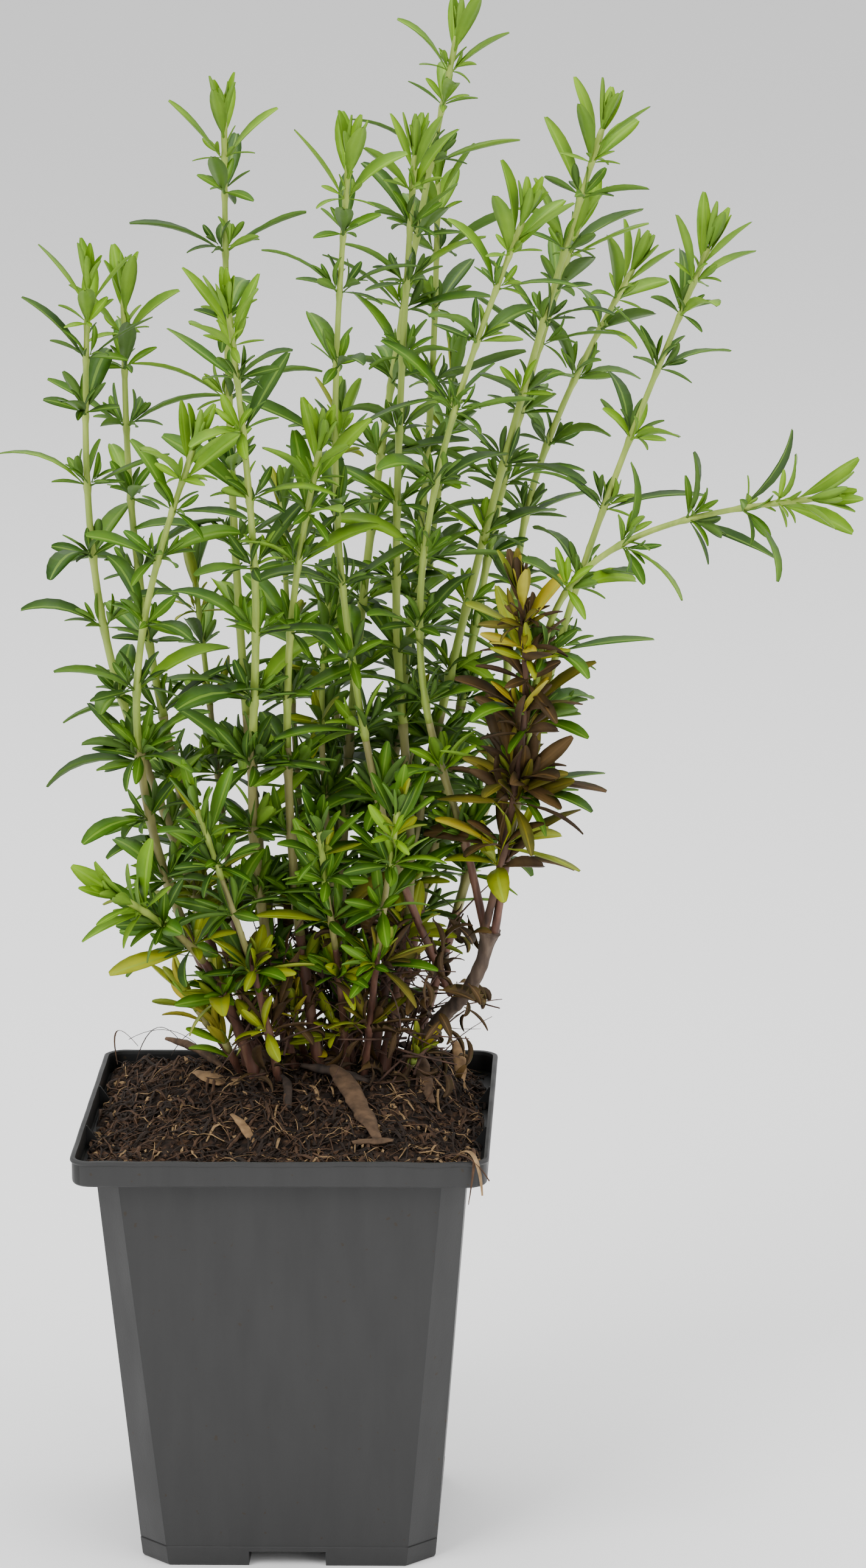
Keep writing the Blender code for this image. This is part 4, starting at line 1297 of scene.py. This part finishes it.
# Loose fibres over the rim: start, pull and end of each arc in millimetres, width and tone
LOOSE_FIBRES = (
    ((37, -40, 95), (43, -46.5, 105), (44, -47.2, 90), 0.9, "tan"),
    ((33, -41, 95), (40, -47, 103), (45.5, -46.4, 93), 0.6, "brown"),
    ((40, -38, 95), (44, -46, 106), (41, -47.4, 88), 0.5, "brown"),
    ((-38, 41, 95), (-34, 46, 108), (-27, 45, 97), 0.35, "dark"),
    ((-30, 42, 96), (-24, 48, 106), (-16, 44, 98), 0.35, "dark"),
    ((-42, 38, 95), (-45, 44, 107), (-38, 46.5, 97), 0.3, "brown"),
    ((-22, 43, 96), (-30, 49, 104), (-40, 45, 99), 0.3, "dark"),
)


def build_litter():
    """Crumbs and fibres on the peat."""
    rng = random.Random(LITTER_SEED)
    crumbs = {kind: Solid() for kind in LITTER_TONES}
    for _ in range(CRUMBS):
        x, y = soil_spot(rng)
        size = rng.uniform(*CRUMB_SIZE) * MM
        centre = Vector((x, y, litter_height(x, y, CRUMB_CLEARANCE * size) + CRUMB_LIFT * size))
        crumbs[drawn(rng, CRUMB_MIX)].add(*crumb(rng, centre, size))
    fibres = {kind: Solid() for kind in LITTER_TONES}
    for _ in range(FIBRES):
        x, y = soil_spot(rng)
        length = rng.uniform(*FIBRE_LENGTH) * MM
        width = rng.uniform(*FIBRE_WIDTH) * MM
        route = strand(rng, x, y, length)
        store = fibres[drawn(rng, FIBRE_MIX)]
        widths = swollen(width, FIBRE_STEPS, FIBRE_END)
        store.add(*ribbon(route, widths, width / 2, rng.uniform(*FIBRE_TILT)))
    for start, pull, end, width, kind in LOOSE_FIBRES:
        start, pull, end = (Vector(point) * MM for point in (start, pull, end))
        shares = [step / LOOSE_STEPS for step in range(LOOSE_STEPS + 1)]
        route = [start * (1 - s) ** 2 + pull * 2 * s * (1 - s) + end * s**2 for s in shares]
        fibres[kind].add(*ribbon(route, swollen(width * MM, LOOSE_STEPS, LOOSE_END), width * MM / 2))
    for kind, tones in LITTER_TONES.items():
        made = surface("litter_" + kind, LITTER_LOOK, between(tones), LITTER_ROUGHNESS)
        crumbs[kind].piece("crumbs_" + kind, made, "soil", smooth=False)
        fibres[kind].piece("fibres_" + kind, made, "soil", smooth=False)


# Bark and twigs on the peat: ends, width, thickness and the start's lift in millimetres
BarkStrip = namedtuple("BarkStrip", "start end width thickness lift kind")
STRIPS = (
    BarkStrip((8, 10), (21, -24), 4.6, 1.5, 2.6, "brown"),
    BarkStrip((24, -27), (15, -25), 3.0, 1.2, 1.4, "brown"),
    BarkStrip((24, 30), (32, 3), 3.4, 1.3, 2.2, "brown"),
    BarkStrip((35.5, 33), (38, 24), 3.0, 0.9, 6.5, "tan"),
    BarkStrip((20, 33), (36, 20), 2.6, 1.2, 2.0, "dark"),
    BarkStrip((-2, 4), (1, -10), 1.9, 1.2, 1.6, "dark"),
    BarkStrip((-30, 30), (-15, 14), 2.2, 1.9, 5.5, "brown"),
    BarkStrip((-22, 12), (-15, 5), 5.0, 1.0, 1.2, "tan"),
    BarkStrip((-12, -16), (-6, -24), 2.2, 0.7, 1.8, "tan"),
    BarkStrip((2, 8), (18, 4), 2.4, 2.0, 2.4, "dark"),
)
STRIP_STEPS = 22
STRIP_SIDES = 14
STRIP_SWAY = 0.5 * MM
STRIP_WAVE = 5
STRIP_SHAKE = 0.05
STRIP_END = 0.45
STRIP_WIDENING = 2.2
STRIP_GRAIN = 0.3
STRIP_GRAIN_REACH = 2 * MM
STRIP_GRAIN_FINENESS = Vector((700, 220, 700))


def strip_shape(rng, strip):
    """One strip of bark: a flat, rough bar that lies on the peat with one end lifted."""
    start, end = Vector(strip.start) * MM, Vector(strip.end) * MM
    points = []
    for step in range(STRIP_STEPS + 1):
        share = step / STRIP_STEPS
        flat = start.lerp(end, share)
        sway = math.sin(share * STRIP_WAVE + rng.random() * STRIP_SHAKE) * STRIP_SWAY
        lift = (strip.lift * (1 - share) + strip.thickness / 2) * MM
        points.append(Vector((flat.x + sway, flat.y, soil_height(flat.x, flat.y) + lift)))
    corners = []
    for number, (centre, along) in enumerate(zip(points, directions(points))):
        side = along.cross(Vector((0, 0, 1))).normalized()
        upward = side.cross(along)
        ends = min(1.0, STRIP_END + STRIP_WIDENING * min(number, STRIP_STEPS - number) / STRIP_STEPS)
        for corner in range(STRIP_SIDES):
            turn = 2 * math.pi * corner / STRIP_SIDES
            place = centre + (side * math.cos(turn) + upward * math.sin(turn)) * STRIP_GRAIN_REACH
            half = ends * MM / 2 * (1 + STRIP_GRAIN * noise.noise(place * STRIP_GRAIN_FINENESS))
            across = side * math.cos(turn) * strip.width * half
            corners.append(tuple(centre + across + upward * math.sin(turn) * strip.thickness * half))
    return corners, ring_faces(STRIP_STEPS + 1, STRIP_SIDES)


def build_bark_pieces():
    """The larger strips of bark and twig that lie on the peat."""
    stores = {kind: Solid() for kind in BARK_TONES}
    rng = random.Random(BARK_SEED)
    for strip in STRIPS:
        stores[strip.kind].add(*strip_shape(rng, strip))
    for kind, tones in BARK_TONES.items():
        bark = surface("bark_piece_" + kind, STEM_LOOK, between(tones), BARK_ROUGHNESS)
        stores[kind].piece("bark_pieces_" + kind, bark, "soil")


def build_thatch(leaves):
    """Thin dry twigs and rootlets among the stems' feet, and dead leaves added to the store."""
    rng = random.Random(THATCH_SEED)
    twigs = Solid()
    shares = [step / TWIG_STEPS for step in range(TWIG_STEPS + 1)]
    for _ in range(TWIGS):
        base = drawn_vector(rng, TWIG_BOX) * MM
        heading = drawn_vector(rng, TWIG_HEADING).normalized()
        curl = drawn_vector(rng, TWIG_CURL) * TWIG_SWEEP
        length = rng.uniform(*TWIG_LENGTH) * MM
        radius = rng.uniform(*TWIG_RADIUS) * MM
        points = [base + (heading * share + curl * share**2) * length for share in shares]
        radii = [radius * (1 - TWIG_TAPER * share) for share in shares]
        twigs.add(*tube(points, radii, TWIG_SIDES, 0.0, TWIG_ROUGHNESS))
    for _ in range(DEAD_LEAVES):
        base = drawn_vector(rng, DEAD_LEAF_BOX) * MM
        heading = drawn_vector(rng, DEAD_LEAF_HEADING).normalized()
        upward = Vector((rng.uniform(-1, 1), rng.uniform(-1, 1), 1)).normalized()
        size = rng.uniform(*DEAD_LEAF_SIZE) * MM
        leaves.add(
            "brown", base, heading, upward, size, size * rng.uniform(*LOOSE_LEAF_WIDTH),
            drawn_angle(rng, LOOSE_LEAF_BEND), drawn_angle(rng, LOOSE_LEAF_FOLD),
            drawn_angle(rng, LOOSE_LEAF_TWIST),
        )
    skin = surface("dry_twigs", STEM_LOOK, between(TWIG_TONES), LITTER_ROUGHNESS)
    twigs.piece("dry_twigs", skin, "bark")


# Stage

FLOOR_REACH = 6.0
FLOOR_SHADE = 0.93
FLOOR_ROUGHNESS = 0.9
SKY_STRENGTH = 1.05
LIGHT_TARGET = Vector((0.02, 0, 0.16))
# Name, place in metres, width in metres and power in watts
LIGHTS = (
    ("key", (-0.8, -1.0, 1.3), 0.9, 22),
    ("fill", (1.1, -0.9, 0.7), 1.0, 12),
    ("top", (0.1, 0.3, 1.5), 1.2, 16),
)
CLIP_START = 0.05
CLIP_END = 50


def build_stage():
    """Pale floor, soft lights and the photograph's camera."""
    corners = [(x * FLOOR_REACH, y * FLOOR_REACH, 0) for x, y in ((-1, -1), (1, -1), (1, 1), (-1, 1))]
    floor_mesh = bpy.data.meshes.new("floor")
    floor_mesh.from_pydata(corners, [], [(0, 1, 2, 3)])
    floor = put("floor", floor_mesh)
    pale = bpy.data.materials.new("floor_pale")
    pale.use_nodes = True
    shader = pale.node_tree.nodes["Principled BSDF"]
    shader.inputs["Base Color"].default_value = (FLOOR_SHADE, FLOOR_SHADE, FLOOR_SHADE, 1)
    shader.inputs["Roughness"].default_value = FLOOR_ROUGHNESS
    floor_mesh.materials.append(pale)
    world = bpy.data.worlds.new("studio")
    bpy.context.scene.world = world
    world.use_nodes = True
    sky = world.node_tree.nodes["Background"]
    sky.inputs["Color"].default_value = (1, 1, 1, 1)
    sky.inputs["Strength"].default_value = SKY_STRENGTH
    for name, place, size, power in LIGHTS:
        data = bpy.data.lights.new(name, "AREA")
        data.size = size
        data.energy = power
        light = put(name, data)
        light.location = place
        light.rotation_mode = "QUATERNION"
        light.rotation_quaternion = (LIGHT_TARGET - Vector(place)).to_track_quat("-Z", "Y")
    data = bpy.data.cameras.new("camera")
    data.sensor_width = SENSOR
    data.lens = CAMERA_FOCAL_PIXELS / PICTURE_HEIGHT * SENSOR
    data.clip_start = CLIP_START
    data.clip_end = CLIP_END
    camera = put("camera", data)
    forward, upward = Vector(CAMERA_FORWARD), Vector(CAMERA_UP)
    turn = Matrix((forward.cross(upward), upward, -forward)).transposed().to_4x4()
    camera.matrix_world = Matrix.Translation(CAMERA_PLACE) @ turn
    bpy.context.scene.camera = camera


def main():
    build_stage()
    build_pot()
    build_soil()
    build_litter()
    build_bark_pieces()
    leaves, stems = grow_plant()
    build_thatch(leaves)
    masses = sorted(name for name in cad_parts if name.startswith("shoot_"))
    feet = sorted(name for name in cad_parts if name.startswith("stem_"))
    build_leaves(leaves, masses)
    build_stems(stems, feet)
    build_branch()


main()
